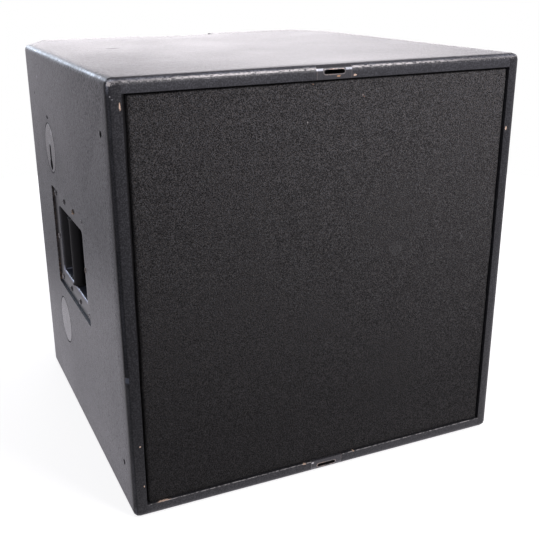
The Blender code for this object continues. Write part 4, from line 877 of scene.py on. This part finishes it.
def bare_board():
    """Unpainted birch plywood with a few knots."""
    graph = Finish("bare plywood", Roughness=0.8)
    grain = graph.noise(45, 4.0, 0.6, graph.scaled(1.0, 1.0, 0.10), 0.8)
    fine = graph.noise(600, 2.0, 0.5, graph.scaled(1.0, 1.0, 0.2))
    colour = mix(grain, (0.48, 0.33, 0.19), (0.28, 0.17, 0.09))
    knots = ramp(graph.cells(9), 0.05, 0.02, 0.0, 0.7)
    return graph.set(Base_Color=mix(knots, colour, (0.10, 0.05, 0.03)), Normal=graph.bump(fine, 0.0001))


def winding_finish():
    """Copper wire wound side by side along the driver's axis."""
    graph = Finish("copper winding", Metallic=0.9, Roughness=0.35)
    turns = compute("SINE", graph.y * (math.tau / 0.0006))
    colour = mix(graph.noise(60, 2.0, 0.6), (0.62, 0.30, 0.12), (0.40, 0.17, 0.06))
    return graph.set(Base_Color=colour, Normal=graph.bump(turns, 0.0001))


# Shapes


def dress(name, material):
    """A CAD node with a better material and smooth rounded edges."""
    item = NODES[name]
    mesh = item.data
    stale = mesh.attributes.get("custom_normal")
    if stale:
        mesh.attributes.remove(stale)
    for polygon in mesh.polygons:
        polygon.use_smooth = True
    mesh.materials.clear()
    mesh.materials.append(material)
    weld = item.modifiers.new("weld", "WELD")
    weld.merge_threshold = 0.00001
    split = item.modifiers.new("sharp edges", "EDGE_SPLIT")
    split.split_angle = math.radians(DRESSED_ANGLE)
    split.use_edge_sharp = False


def fitted(name, form, material, body, *replaced, angle=SMOOTH_ANGLE):
    """A piece from an edited form, with its faces turned outwards, in place of CAD nodes.

    It rides on a body, if one is given.
    """
    bmesh.ops.remove_doubles(form, verts=form.verts, dist=0.000001)
    bmesh.ops.recalc_face_normals(form, faces=form.faces)
    item = shaped(name, form)
    item.data.shade_smooth()
    item.data.set_sharp_from_angle(angle=math.radians(angle))
    item.data.materials.append(material)
    if body:
        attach(item, body)
    if replaced:
        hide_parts(*replaced)
    return item


def skin(form, rings, closed=False):
    """Faces between rings of points, each ring as long as the next. A ring of one point closes to a tip."""
    made = [[form.verts.new(point) for point in ring] for ring in rings]
    pairs = list(zip(made, made[1:]))
    if closed:
        pairs.append((made[-1], made[0]))
    for ring, other in pairs:
        count = max(len(ring), len(other))
        if count == 1:
            continue
        for step in range(count):
            after = (step + 1) % count
            corners = [
                ring[step % len(ring)],
                ring[after % len(ring)],
                other[after % len(other)],
                other[step % len(other)],
            ]
            form.faces.new(list(dict.fromkeys(corners)))
    return made


def polar(radius, turn):
    return radius * math.cos(turn), radius * math.sin(turn)


def axis_place(middle, direction):
    turn = Vector(direction).to_track_quat("Z", "Y").to_matrix().to_4x4()
    return Matrix.Translation(Vector(middle)) @ turn


def level_ring(points, along, place):
    """Flat points at one distance along the axis of a place."""
    return [place @ Vector((a, b, along)) for a, b in points]


def circle_ring(radius, along, steps, place):
    count = steps if radius else 1
    return level_ring([polar(radius, math.tau * step / steps) for step in range(count)], along, place)


def turned(form, profile, middle, direction, steps):
    """A closed profile of (radius, distance along) pairs turned about an axis through middle."""
    place = axis_place(middle, direction)
    skin(form, [circle_ring(radius, along, steps, place) for radius, along in profile], closed=True)


def box_ring(half_long, half_tall, corner, steps=6):
    """A rounded rectangle in two coordinates, with the same number of points whatever its size."""
    points = []
    for quarter, (side_a, side_b) in enumerate(((1, 1), (-1, 1), (-1, -1), (1, -1))):
        for step in range(steps + 1):
            a, b = polar(corner, math.radians(90) * (quarter + step / steps))
            points.append((side_a * (half_long - corner) + a, side_b * (half_tall - corner) + b))
    return points


def cross_ring(arm, half_width):
    """A plus-shaped outline of 32 points, for the recess of a screw."""
    middle = (arm + half_width) / 2
    across = (arm, arm, arm, middle, half_width, half_width, half_width, half_width / 2)
    up = (0, half_width / 2, half_width, half_width, half_width, middle, arm, arm)
    quarter = list(zip(across, up))
    points = []
    for _ in range(4):
        points.extend(quarter)
        quarter = [(-b, a) for a, b in quarter]
    return points


def hexagon_ring(radius):
    """A hexagon with points at even angles, so that it meets a circle of as many points."""
    points = []
    for step in range(SCREW_STEPS):
        turn = math.tau * step / SCREW_STEPS
        flat = math.cos((turn % math.radians(60)) - math.radians(30))
        points.append(polar(radius * math.cos(math.radians(30)) / flat, turn))
    return points


def screw(form, middle, outwards, spin, head, shank=None, socket="cross"):
    """A domed head with its recess, and a shank behind its seat. middle is on the seat."""
    radius, height = head
    place = axis_place(middle, outwards) @ Matrix.Rotation(spin, 4, "Z")
    if shank:
        thick, long = shank
        line = [(0, -long), (thick * 0.7, -long), (thick, thick * 0.3 - long), (thick, 0)]
    else:
        line = [(0, -height * 0.3), (radius, -height * 0.3)]
    if socket == "cross":
        dome, depth = CROSS_DOME, height * 0.62
        recess = cross_ring(radius * 0.47, radius * 0.125)
    else:
        dome, depth = HEXAGON_DOME, height * 0.55
        recess = hexagon_ring(radius * 0.56)
    line.extend((radius * share, height * lift) for share, lift in dome)
    rings = [circle_ring(reach, along, SCREW_STEPS, place) for reach, along in line]
    rings.append(level_ring(recess, height, place))
    rings.append(level_ring([(a * 0.8, b * 0.8) for a, b in recess], height - depth, place))
    rings.append(circle_ring(0, height - depth * 1.15, 1, place))
    skin(form, rings)


def screw_set(name, material, seats, *nodes, **shape):
    """A piece of equal screws. seats holds the middle, direction and spin of each."""
    form = bmesh.new()
    for seat in seats:
        screw(form, *seat, **shape)
    fitted(name, form, material, CABINET, *nodes)


def cut(item, form):
    """Cuts an edited form's closed shells out of a piece."""
    bmesh.ops.recalc_face_normals(form, faces=form.faces)
    cutter = shaped("cutter", form)
    cutting = item.modifiers.new("cut", "BOOLEAN")
    cutting.operation = "DIFFERENCE"
    cutting.object = cutter
    bpy.context.view_layer.update()
    result = bpy.data.meshes.new_from_object(item.evaluated_get(bpy.context.evaluated_depsgraph_get()))
    item.modifiers.clear()
    material = item.data.materials[0]
    item.data = result
    result.materials.clear()
    result.materials.append(material)
    result.set_sharp_from_angle(angle=math.radians(SMOOTH_ANGLE))
    bpy.data.objects.remove(cutter, do_unlink=True)


# Pieces


def edge_lines(low, high, roll, step):
    """Places of grid lines between two ends, close together where the edge rolls over."""
    start_roll, end_roll = roll
    first, last = low + start_roll, high - end_roll
    count = round((last - first) / step)
    inner = [first + (last - first) * index / count for index in range(count + 1)]
    start = [low + start_roll * share for share in FOAM_ROLL_SHARES]
    end = [high - end_roll * share for share in reversed(FOAM_ROLL_SHARES)]
    return start + inner + end


def foam_sheet(material):
    """The grille's foam: a slab with rolled edges, a faintly uneven face and two snags at its right edge."""
    low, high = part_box("grille_foam")
    low = (low[0] + FOAM_SHIFT, low[1], low[2] - FOAM_BOTTOM_DROP)
    high = (high[0] + FOAM_SHIFT, high[1], high[2])
    columns = edge_lines(low[0], high[0], FOAM_SIDE_ROLLS, FOAM_STEP)
    rows = edge_lines(low[2], high[2], FOAM_END_ROLLS, FOAM_STEP)

    def roll(distance, radius):
        share = max(0.0, 1 - distance / radius)
        return radius * (1 - math.sqrt(1 - share * share))

    def near(distance):
        return max(0.0, 1 - distance / FOAM_BORDER)

    def edge_shift(along, seed):
        return FOAM_WOBBLE * noise.noise(Vector((along * 30, seed, 0.5)))

    form = bmesh.new()
    grid = []
    for x in columns:
        line = []
        for z in rows:
            left, right, down, up = x - low[0], high[0] - x, z - low[2], high[2] - z
            depth = roll(left, FOAM_SIDE_ROLLS[0]) + roll(right, FOAM_SIDE_ROLLS[1])
            depth += roll(down, FOAM_END_ROLLS[0]) + roll(up, FOAM_END_ROLLS[1])
            depth = min(depth, FOAM_DEEPEST)
            wave = FOAM_WAVE * noise.noise(Vector((x * 9, z * 9, 2.5)))
            wave += FOAM_WAVE * 0.4 * noise.noise(Vector((x * 45, z * 45, 7.5)))
            across = near(right) * edge_shift(z, 1)
            across += near(left) * (edge_shift(z, 2) + FOAM_LEFT_TAPER * z / HEIGHT)
            lift = near(up) * edge_shift(x, 3) + near(down) * edge_shift(x, 4)
            for rise, amount in FOAM_SNAGS:
                across += near(right) * amount * math.exp(-(((z - rise) / FOAM_SNAG_LENGTH) ** 2))
            line.append(form.verts.new((x + across, low[1] + FOAM_WAVE + depth + wave, z + lift)))
        grid.append(line)
    for a, b in zip(grid, grid[1:]):
        for index in range(len(rows) - 1):
            form.faces.new((a[index], b[index], b[index + 1], a[index + 1]))
    border = grid[0] + [line[-1] for line in grid[1:]] + grid[-1][-2::-1]
    border += [line[0] for line in grid[-2:0:-1]]
    back = [form.verts.new((vert.co.x, high[1], vert.co.z)) for vert in border]
    for index in range(len(border)):
        after = (index + 1) % len(border)
        form.faces.new((border[index], border[after], back[after], back[index]))
    form.faces.new(back)
    item = fitted("grille_foam_sheet", form, material, CABINET, "grille_foam", angle=60)


def handle_dish(side, side_name, material):
    """One pressed sheet: a flange, a rolled lip, drafted walls and a rounded floor."""
    long, tall = HANDLE_OPENING[0] / 2, HANDLE_OPENING[1] / 2
    plate_long, plate_tall = HANDLE_PLATE[0] / 2 - SEAT_GAP, HANDLE_PLATE[1] / 2 - SEAT_GAP
    outline = []
    for inset, depth in HANDLE_PLATE_EDGE:
        plate = (plate_long - inset, plate_tall - inset, HANDLE_PLATE_CORNER, HANDLE_SUNK + depth)
        outline.append(plate)
    turns = [math.radians(90) * step / HANDLE_ARC_STEPS for step in range(HANDLE_ARC_STEPS + 1)]
    for turn in turns:
        reach = HANDLE_LIP * (1 - math.sin(turn))
        fall = HANDLE_LIP * (1 - math.cos(turn))
        outline.append((long + reach, tall + reach, HANDLE_CORNER + reach, HANDLE_SUNK + fall))
    lip_end = len(outline) - 1
    for turn in turns:
        inset = HANDLE_DRAFT + HANDLE_FLOOR_EDGE * (1 - math.cos(turn))
        depth = HANDLE_FLOOR_DEPTH - HANDLE_FLOOR_EDGE * (1 - math.sin(turn))
        corner = max(0.001, HANDLE_CORNER - HANDLE_FLOOR_EDGE * 0.6 * (1 - math.cos(turn)))
        outline.append((long - inset, tall - inset, corner, depth))

    def ring(half_long, half_tall, corner, depth):
        points = box_ring(half_long, half_tall, corner)
        return [(side * (WIDTH / 2 - depth), HANDLE_BACK + a, HANDLE_RISE + b) for a, b in points]

    rings = [ring(*shape) for shape in outline]
    for depth in (HANDLE_FLOOR_DEPTH, HANDLE_FLOOR_DEPTH + HANDLE_SHEET):
        rings.append([(side * (WIDTH / 2 - depth), HANDLE_BACK, HANDLE_RISE)])
    for *sizes, depth in reversed(outline[lip_end:]):
        deeper = min(depth, HANDLE_FLOOR_DEPTH) + HANDLE_SHEET
        rings.append(ring(*(size + HANDLE_SHEET for size in sizes), deeper))
    form = bmesh.new()
    skin(form, rings, closed=True)
    node = f"handle_dish_{side_name}"
    dish = fitted(f"handle_pressing_{side_name}", form, material, CABINET, node, angle=50)


def handle_grip(side, side_name, material):
    """The upright bar, flared where it meets the dish."""
    form = bmesh.new()
    half = (HANDLE_OPENING[1] - HANDLE_DRAFT) / 2
    profile = [(0, -half), (GRIP_RADIUS + GRIP_FLARE, -half)]
    for step in range(1, GRIP_FLARE_STEPS + 1):
        share = step / GRIP_FLARE_STEPS
        profile.append((GRIP_RADIUS + GRIP_FLARE * (1 - share) ** 2, GRIP_FLARE_LENGTH * share - half))
    profile.extend((radius, -along) for radius, along in reversed(profile[:]))
    centre = (side * (WIDTH / 2 - GRIP_DEPTH), HANDLE_BACK, HANDLE_RISE)
    turned(form, profile, centre, (0, 0, 1), GRIP_STEPS)
    grip = fitted(f"grip_bar_{side_name}", form, material, CABINET, f"handle_grip_{side_name}")


def handle_screws(side, side_name, material):
    """Four screws above and below the opening, and one at each end."""
    seats = []
    for column in range(4):
        back = HANDLE_BACK + (column - 1.5) * HANDLE_SCREW_PITCH
        for lift in (-1, 0, 1) if column in (0, 3) else (-1, 1):
            seat = (side * (WIDTH / 2 - HANDLE_SUNK), back, HANDLE_RISE + lift * HANDLE_SCREW_ROW)
            seats.append((seat, (side, 0, 0), column * 1.1 + lift * 0.7))
    screw_set(f"handle_screws_{side_name}", material, seats, head=HANDLE_HEAD)


def cut_keyhole(item, side):
    """Cuts the keyhole through the cup's face: a wide round mouth below a narrow slot."""
    wide_radius, wide_drop = KEYHOLE_WIDE
    narrow_radius, narrow_drop = KEYHOLE_NARROW
    meet = math.asin(narrow_radius / wide_radius)
    points = []
    for radius, drop, start, sweep, steps in (
        (wide_radius, wide_drop, math.radians(90) + meet, math.tau - 2 * meet, KEYHOLE_STEPS[0]),
        (narrow_radius, narrow_drop, 0, math.pi, KEYHOLE_STEPS[1]),
    ):
        for step in range(steps + 1):
            a, b = polar(radius, start + sweep * step / steps)
            points.append((a, KEYHOLE_RISE - drop + b))
    form = bmesh.new()
    outside = WIDTH / 2 + KEYHOLE_CUT_PAST
    inside = WIDTH / 2 - DISC_THICKNESS - KEYHOLE_CUT_PAST
    ends = (side * outside, side * inside)
    for ring in skin(form, [[(x, DISC_BACK + a, b) for a, b in points] for x in ends]):
        form.faces.new(ring)
    cut(item, form)


def discs(side, side_name, keyed_material, blank_material):
    """The flush keyhole cup above the handle, and the blank disc below it."""
    flange = BOARD + SEAT_GAP
    face = [(0, 0), (DISC_RADIUS - DISC_EDGE, 0), (DISC_RADIUS, DISC_EDGE)]
    cup_profile = face + [
        (DISC_RADIUS, flange),
        (CUP_FLANGE_RADIUS, flange),
        (CUP_FLANGE_RADIUS, flange + CUP_FLANGE),
        (DISC_RADIUS, flange + CUP_FLANGE),
        (DISC_RADIUS, CUP_DEPTH),
        (0, CUP_DEPTH),
        (0, CUP_DEPTH - CUP_WALL),
        (DISC_RADIUS - CUP_WALL, CUP_DEPTH - CUP_WALL),
        (DISC_RADIUS - CUP_WALL, DISC_THICKNESS),
        (0, DISC_THICKNESS),
    ]
    form = bmesh.new()
    turned(form, cup_profile, (side * WIDTH / 2, DISC_BACK, KEYHOLE_RISE), (-side, 0, 0), DISC_STEPS)
    cup = fitted(f"keyhole_plate_{side_name}", form, keyed_material, CABINET, f"keyhole_cup_{side_name}")
    cut_keyhole(cup, side)
    blank_profile = face + [(DISC_RADIUS, DISC_THICKNESS), (0, DISC_THICKNESS)]
    form = bmesh.new()
    turned(form, blank_profile, (side * WIDTH / 2, DISC_BACK, BLANK_RISE), (-side, 0, 0), DISC_STEPS)
    blank = fitted(f"blank_cover_{side_name}", form, blank_material, CABINET, f"blanking_disc_{side_name}")


def grille_screws(material):
    back, spread = GRILLE_SCREW_PLACE
    seats = []
    names = []
    for side, side_name in SIDES:
        for lift, height_name in ((-1, "lower"), (1, "upper")):
            seat = (side * GRILLE_SCREW_SEAT, back, MIDDLE_RISE + lift * spread)
            seats.append((seat, (side, 0, 0), side + lift * 0.4))
            names.append(f"grille_screw_{height_name}_{side_name}")
    screw_set("grille_side_screws", material, seats, *names, head=GRILLE_HEAD, shank=GRILLE_SHANK)


def connector_screws(material):
    seats = []
    for across in (-1, 1):
        for lift in (-1, 1):
            seat = (across * PLATE_SCREWS[0], PLATE_FACE, PLATE_RISE + lift * PLATE_SCREWS[1])
            seats.append((seat, (0, 1, 0), across * 0.8 + lift))
    names = [f"connector_screw_{index + 1}" for index in range(4)]
    screw_set("connector_plate_screws", material, seats, *names, head=PLATE_HEAD, shank=PLATE_SHANK)


def bolt_places():
    """Middles of the driver's bolts, on the face of its frame."""
    turns = [math.tau * (index + 0.5) / BOLT_COUNT for index in range(BOLT_COUNT)]
    flat = [polar(BOLT_CIRCLE, turn) for turn in turns]
    return [(across, FRAME_FACE, MIDDLE_RISE + up) for across, up in flat]


def driver_bolts(material):
    seats = [(place, (0, -1, 0), index) for index, place in enumerate(bolt_places())]
    names = [f"driver_bolt_{index + 1}" for index in range(BOLT_COUNT)]
    shape = {"head": BOLT_HEAD, "shank": BOLT_SHANK, "socket": "hexagon"}
    screw_set("driver_cap_bolts", material, seats, *names, **shape)


def socket(side, side_name, material):
    """A loudspeaker socket: a flange with a raised collar, and a keyed round bore with a post in it."""
    place = axis_place((side * SOCKET_SIDE, PLATE_FACE + SEAT_GAP, PLATE_RISE), (0, 1, 0))
    half_wide, half_tall, top = SOCKET_FLANGE[0] / 2, SOCKET_FLANGE[1] / 2, SOCKET_FLANGE[2]
    floor_depth = top - SOCKET_BORE_DEPTH
    post_top = top - SOCKET_POST_DEPTH

    def ring(radius, along):
        return circle_ring(radius, along, SOCKET_STEPS, place)

    def keyed(along):
        points = []
        for step in range(SOCKET_STEPS):
            turn = math.tau * step / SOCKET_STEPS
            notch = SOCKET_KEY if abs(math.sin(turn)) > math.cos(SOCKET_KEY_ANGLE) else 0.0
            points.append(polar(SOCKET_BORE + notch, turn))
        return level_ring(points, along, place)

    def flange(inset, along):
        corner = SOCKET_CORNER - inset
        points = box_ring(half_wide - inset, half_tall - inset, corner, SOCKET_STEPS // 4 - 1)
        return level_ring(points, along, place)

    rings = [
        ring(0, -SOCKET_LENGTH),
        ring(SOCKET_RADIUS, -SOCKET_LENGTH),
        ring(SOCKET_RADIUS, 0),
        flange(0, 0),
        flange(0, top - SOCKET_EDGE),
        flange(SOCKET_EDGE, top),
        ring(SOCKET_RADIUS, top),
        ring(SOCKET_RADIUS - 0.0003, top + SOCKET_COLLAR),
        ring(SOCKET_BORE + 0.0006, top + SOCKET_COLLAR),
        keyed(top),
        keyed(floor_depth),
        ring(SOCKET_POST, floor_depth),
        ring(SOCKET_POST, post_top - SOCKET_EDGE),
        ring(SOCKET_POST * 0.85, post_top),
        ring(0, post_top),
    ]
    form = bmesh.new()
    skin(form, rings)
    body = fitted(f"keyed_socket_{side_name}", form, material, CABINET, f"speaker_socket_{side_name}")


def cone_front(radius):
    """Depth of the cone's front behind the face of the driver's frame."""
    share = (CONE_RADIUS - radius) / (CONE_RADIUS - COIL_OUTER - SEAT_GAP)
    return CONE_EDGE + (CONE_NECK - CONE_EDGE) * share ** CONE_FLARE


def stretched(name, node, line, wall, material, band):
    """A turned cloth ring in equal sectors, each a piece of its own.

    line holds (radius, depth) points, and wall is how far the other face lies in front of them.
    band holds two radii, from which each sector's end points are worked out and then not used.
    """
    place = axis_place((0, FRAME_FACE, MIDDLE_RISE), (0, 1, 0))
    profile = line + [(radius, depth - wall) for radius, depth in reversed(line)]
    width = math.tau / CLOTH_SECTORS
    steps = round(RING_STEPS / CLOTH_SECTORS)
    for sector in range(CLOTH_SECTORS):
        form = bmesh.new()
        rings = []
        for step in range(steps + 1):
            turn = width * (sector + step / steps)
            rings.append([place @ Vector((*polar(radius, turn), depth)) for radius, depth in profile])
        made = skin(form, rings)
        form.faces.new(made[0])
        form.faces.new(made[-1])
        piece = fitted(f"{name}_{sector + 1}", form, material, None, node)
        middle = width * (sector + 0.5)
        ends = [place @ Vector((*polar(radius, middle), 0)) for radius in band]
        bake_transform(piece)


def surround(material):
    """The half-roll edge of doped cloth between the cone and the frame."""
    line = [(CONE_RADIUS - ROLL_LIP, cone_front(CONE_RADIUS - ROLL_LIP) - SEAT_GAP)]
    for step in range(ROLLS * ROLL_STEPS + 1):
        share = step / (ROLLS * ROLL_STEPS)
        base = (CONE_EDGE - SEAT_GAP) * (1 - share) - SEAT_GAP * share
        lift = ROLL_RISE * abs(math.sin(math.pi * ROLLS * share))
        line.append((CONE_RADIUS + (ROLL_END - CONE_RADIUS) * share, base - lift))
    line.append((ROLL_END + ROLL_LIP, -SEAT_GAP))
    stretched("surround_cloth", "surround", line, ROLL_WALL, material, ROLL_BAND)


def spider(material):
    """The waved disc that centres the voice coil."""
    seat, outer = SPIDER_SEAT
    inner = COIL_OUTER + SEAT_GAP
    line = [(outer, SPIDER_BACK), (seat, SPIDER_BACK)]
    steps = SPIDER_WAVES * ROLL_STEPS
    for step in range(1, steps):
        share = step / steps
        wave = SPIDER_WAVE * math.sin(math.tau * SPIDER_WAVES * share)
        line.append((seat + (inner - seat) * share, SPIDER_BACK - wave))
    line.append((inner, SPIDER_BACK))
    stretched("spider_cloth", "spider", line, SPIDER_WALL, material, SPIDER_BAND)


def gasket(material):
    """The foam ring between the driver's flange and the baffle, with its bolt holes and rolled edges."""
    inner, outer = GASKET_RADII
    low, high = (corner[1] - FRAME_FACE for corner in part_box("driver_gasket"))
    profile = [
        (inner, low + GASKET_ROLL),
        (inner + GASKET_ROLL, low),
        (outer - GASKET_ROLL, low),
        (outer, low + GASKET_ROLL),
        (outer, high - GASKET_ROLL),
        (outer - GASKET_ROLL, high),
        (inner + GASKET_ROLL, high),
        (inner, high - GASKET_ROLL),
    ]
    form = bmesh.new()
    turned(form, profile, (0, FRAME_FACE, MIDDLE_RISE), (0, 1, 0), RING_STEPS)
    ring = fitted("gasket_ring", form, material, CABINET, "driver_gasket")
    form = bmesh.new()
    hole = [(radius, low - GASKET_ROLL) for radius in (0, BOLT_HOLE)]
    hole += [(radius, high + GASKET_ROLL) for radius in (BOLT_HOLE, 0)]
    for middle in bolt_places():
        place = axis_place(middle, (0, 1, 0))
        skin(form, [circle_ring(radius, along, BOLT_HOLE_STEPS, place) for radius, along in hole])
    cut(ring, form)


camera()
for lamp in SOFT_BOXES:
    soft_box(*lamp)
world()
floor()

for name, grit in PANELS.items():
    flaws = [table.get(name, ()) for table in (CHIPS, MARKS, LIGHT_SPECKS)]
    handled = name in ("left_panel", "right_panel")
    dress(name, paint_coat(name.replace("_", " "), *flaws, handled, grit))
dress("front_baffle", plain("baffle paint", (0.016, 0.016, 0.017), 0.6, spread=0.4))
for index, end in enumerate(("bottom", "top")):
    catch = (CATCH_RISES[index], CATCH_SLOT, CATCH_HALF_WIDTH, FRONT, PLATE_CHIPS[index])
    dress(f"front_catch_plate_{end}", slotted_plate(f"{end} catch plate", *catch))
    link = (LINK_RISES[index], LINK_SLOT, LINK_HALF_WIDTH, REAR)
    dress(f"rear_link_plate_{end}", slotted_plate(f"{end} link plate", *link))
foam_sheet(foam_finish())
worn_screws = screw_finish("worn screws", 0.0)
dark_screws = screw_finish("dark screws", -0.06)
for side, side_name in SIDES:
    handle_dish(side, side_name, handle_finish(f"handle paint {side_name}", side))
    handle_grip(side, side_name, grip_finish(f"grip paint {side_name}", side))
    handle_screws(side, side_name, worn_screws)
    keyed = disc_finish(f"keyhole plate paint {side_name}", KEYHOLE_RISE, True)
    blank = disc_finish(f"blank disc paint {side_name}", BLANK_RISE, False)
    discs(side, side_name, keyed, blank)
grille_screws(dark_screws)
connector_screws(worn_screws)
driver_bolts(screw_finish("driver bolt steel", 0.2))

steel = plain("black enamelled steel", (0.018, 0.018, 0.020), 0.42)
wood = bare_board()
nylon = plain("moulded nylon", (0.016, 0.016, 0.017), 0.38, grain=900, depth=0.00003)
REST = {
    "grille_tray": steel,
    "connector_plate": steel,
    "driver_frame": plain("cast alloy", (0.30, 0.30, 0.31), 0.48, grain=500, depth=0.0002, Metallic=0.8),
    "cone": plain("cone paper", (0.020, 0.020, 0.020), 0.9, grain=500, depth=0.0002),
    "dust_cap": plain("dust cap paper", (0.022, 0.022, 0.022), 0.85, grain=700, depth=0.0001),
    "voice_coil": winding_finish(),
    "motor_top_plate": plain("plated steel", (0.50, 0.50, 0.46), 0.32, spread=0.12, Metallic=1.0),
    "motor_back_plate": plain("plated back steel", (0.50, 0.50, 0.46), 0.32, spread=0.12, Metallic=1.0),
    "magnet_ring": plain("ferrite", (0.030, 0.030, 0.030), 0.55, grain=300, depth=0.0002),
    "driver_terminals": nylon,
    "speaker_lead": plain("lead jacket", (0.014, 0.014, 0.014), 0.5, grain=700, depth=0.00004),
    "window_brace": wood,
}
for name, material in REST.items():
    dress(name, material)
for name in NODES:
    if name.startswith("port_board"):
        dress(name, wood)
for side, side_name in SIDES:
    socket(side, side_name, nylon)
surround(plain("doped cloth", (0.020, 0.020, 0.021), 0.55, grain=900, depth=0.0001))
spider(plain("spider cloth", (0.30, 0.17, 0.07), 0.85, grain=1200, depth=0.0001))
gasket(plain("gasket foam", (0.012, 0.012, 0.012), 0.95, grain=900, depth=0.0003))

bpy.context.scene.view_settings.view_transform = "Standard"
